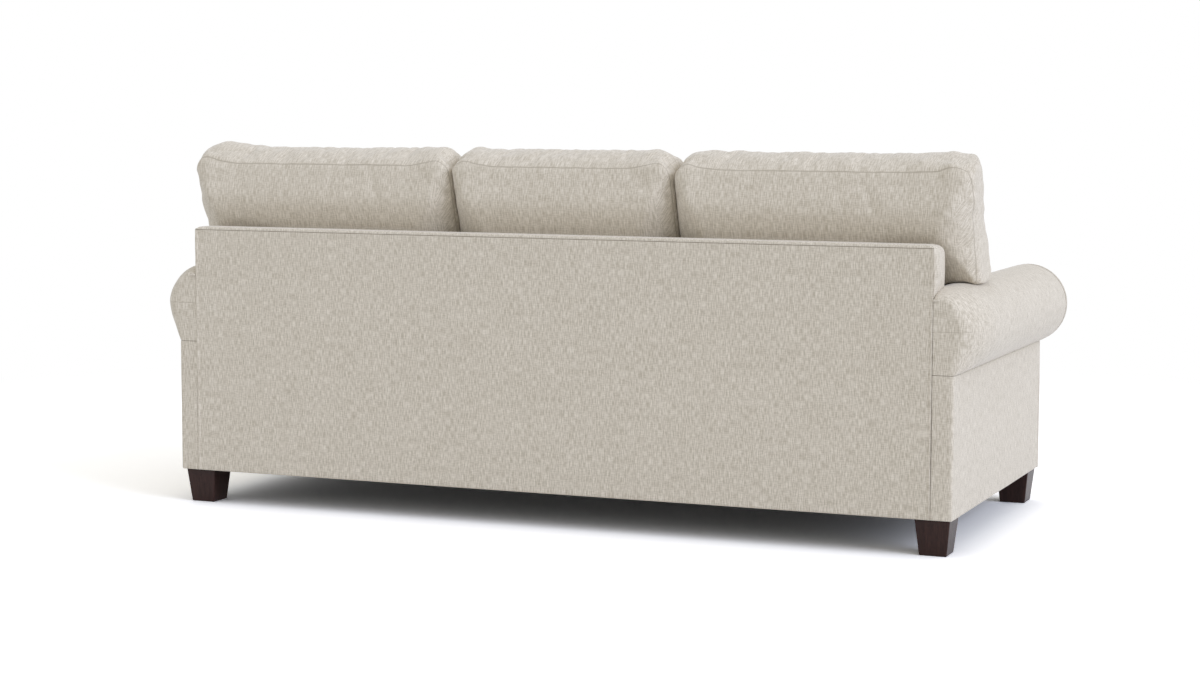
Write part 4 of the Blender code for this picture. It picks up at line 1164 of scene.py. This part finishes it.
        atSide = (u > lastU - 1e-6) - (u < 1e-6)
        atTop, atLow = z > top - 1e-6, z < bottom + 1e-6
        onPanel = (through > 0.999) - (through < 0.001)
        besideArm = bool(earEnd) and abs(u - width) < 1e-6 and row < lowRows + 0.5
        toNotch = math.hypot(max(0.0, width - u), max(0.0, z - earZ)) if earEnd else 1.0
        if earEnd and u < width and z < earZ:
            toNotch = width - u
        toTop, toSide = top - z, min(u, lastU - u)
        if onPanel:
            toSeam = min(values["sideReach"] * u, values["sideReach"] * (lastU - u), z - bottom, toTop, toNotch)
            out = crown(toSeam, values["frontCrown"] if onPanel == 1 else values["rearCrown"], values["reach"])
            run += onPanel * out * math.cos(lean)
            z += onPanel * out * math.sin(lean)
            if onPanel < 0:
                overZ, overHigh = values["roundOverZ"]
                over = values["roundOver"] * math.exp(-(((z - overZ) / overHigh) ** 2))
                run -= over * ease(toSide / values["roundOverRun"])
            if atSide or atTop or atLow or besideArm:
                seams.add(index)
        if atTop and atSide:
            mitres.add(index)

        x = near + u
        if inEar:
            x += fill * (1 - (u - width) / earWidth) * ease((backTop - z) / values["fillFade"])
        elif earEnd:
            close = ease(1 - (width - u) / values["fillRun"])
            dropLow, dropRun = values["dropFrom"]
            drop = ease((z - dropLow) / dropRun) if z < earZ else ease((backTop - z) / values["dropFade"])
            z -= cornerDrop * close * drop
            outward = min(fill, rollInside(z) - sofa["innerX"]) if z > roll["z"] else 0.0
            x += close * outward * (1.0 if z < earZ - cornerDrop else ease((backTop - z) / values["fillFade"]))
        beyondHalf = u > lastU / 2
        corner = "end" if earEnd and beyondHalf else ("towardsRight" if beyondHalf == (side > 0) else "towardsLeft")
        rearRound, middleRound, frontRound = values[corner + "Rounds"]
        if through < 0.5:
            bend = rearRound + (middleRound - rearRound) * ease(2 * through)
        else:
            bend = middleRound + (frontRound - middleRound) * ease(2 * through - 1)
        inX, inZ = roundCorner(toSide, max(0.0, toTop), bend)
        x += inX if u < lastU / 2 else -inX
        z -= inZ
        middle = 1 - (2 * through - 1) ** 2
        if earEnd and inEar:  # its lower outer corner is round
            inX, inZ = roundCorner(lastU - u, max(0.0, z - bottom), values["earRound"])
            x -= inX
            z += inZ
        if not besideArm:
            bulge = values["bulge"]
            if atSide > 0 and earEnd:
                bulge = values["endBulge"] + values["hump"] * math.exp(-max(0.0, toTop) / values["humpRun"])
            x += atSide * (bulge * middle - values["draw"] * (1 - (2 * up - 1) ** 2))
        if earEnd and u > width:  # the ear narrows upwards and forwards
            height = ease((z - earZ) / values["earHigh"])
            topX = values["rearSideX"] + through * (values["frontSideX"] - values["rearSideX"])
            x += (topX - values["lowSideX"]) * height * (u - width) / earWidth
        if atTop:
            humpFrom, humpWide = values["humpAt"]
            hump = values["hump"] * math.exp(-(((toEnd - humpFrom) / humpWide) ** 2))
            z += middle * (values["boxCrown"] + hump)
        toRim = min(max(0.0, toTop), 0.5) if onPanel else 0.0
        toSideRim = toSide if onPanel else 0.0
        (along, alongRun), (upward, upwardRun) = values["pullAlong"], values["pullUp"]
        free = 1.0 if earEnd and u > width else values["pullBesideNeighbour"]
        pulls.append((
            (along + ease(1 - toEnd / alongRun)) * math.exp(-toRim / values["pullRun"]),
            (upward + ease(1 - max(0.0, toTop) / upwardRun)) * math.exp(-toSideRim / values["pullRun"]) * free,
        ))
        points[index] = (side * x, sofa["rearY"] - run, z)
    writePoints(block, points)
    if side < 0:
        block.data.flip_normals()
    node = f"{sideName}_back_cushion"
    lowest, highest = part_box(node)

    def keepInside(points):
        # off the rolls of the arms, off the seat and off the sofa's back
        if earEnd:
            nearRadius = roll["radius"] + values["clearAtEnd"]
            beside = np.abs(points[:, 0]) - roll["x"]
            topOfRoll = roll["z"] + np.sqrt(np.maximum(0.0, nearRadius ** 2 - beside ** 2))
            beyond = np.abs(points[:, 0]) > cornerX - 0.002
            points[:, 2] = np.where(beyond & (points[:, 2] < 0.66), np.maximum(points[:, 2], topOfRoll), points[:, 2])
            height = np.clip(points[:, 2] - roll["z"], 0.0, roll["radius"])
            edge = roll["x"] - np.sqrt(nearRadius ** 2 - height ** 2)
            low = ~beyond & (points[:, 2] < earZ)
            points[:, 0] = np.where(low, side * np.minimum(side * points[:, 0], edge), points[:, 0])
        points[:, 2] = np.maximum(points[:, 2], lowest.z + 0.0001)
        overFrom, overRun = values["overBackZ"]
        over = np.clip((points[:, 2] - overFrom) / overRun, 0, 1)
        points[:, 1] = np.minimum(points[:, 1], values["rearLimit"] + values["overBack"] * over)
        points[:, 0] = np.clip(points[:, 0], lowest.x - values["sideLimit"], highest.x + values["sideLimit"])

    finishCushion(block, seams, mitres, cushionCover, lean, keepInside, pulls)
    finishPiece(block, node, "upholstery", oatmealLinen, node, fill=values["padding"])


addOutsideBack()
addBackCover()
for armName, armSide in sides.items():
    addArmRoll(armName, armSide)
    addArmPanel(armName, armSide)
    addArmFacing(armName, armSide)
    addRearBoard(armName, armSide)
addFrontBorder()
addSeatDeck()
addDustCover()
print("back, arms and deck are covered")

cushionWidth = 2 * sofa["innerX"] / 3
for cushionName, cushionSide in (("left", -1), ("centre", 0), ("right", 1)):
    addSeatCushion(cushionName, cushionSide * cushionWidth)
    if cushionSide:
        addBackCushion(cushionName, cushionSide, cushionWidth / 2, sofa["innerX"], sofa["outerX"] + 0.012)
    else:
        addBackCushion(cushionName, 1, -cushionWidth / 2, cushionWidth / 2)
    print(cushionName, "cushions are filled")

scene.view_settings.view_transform = "Standard"
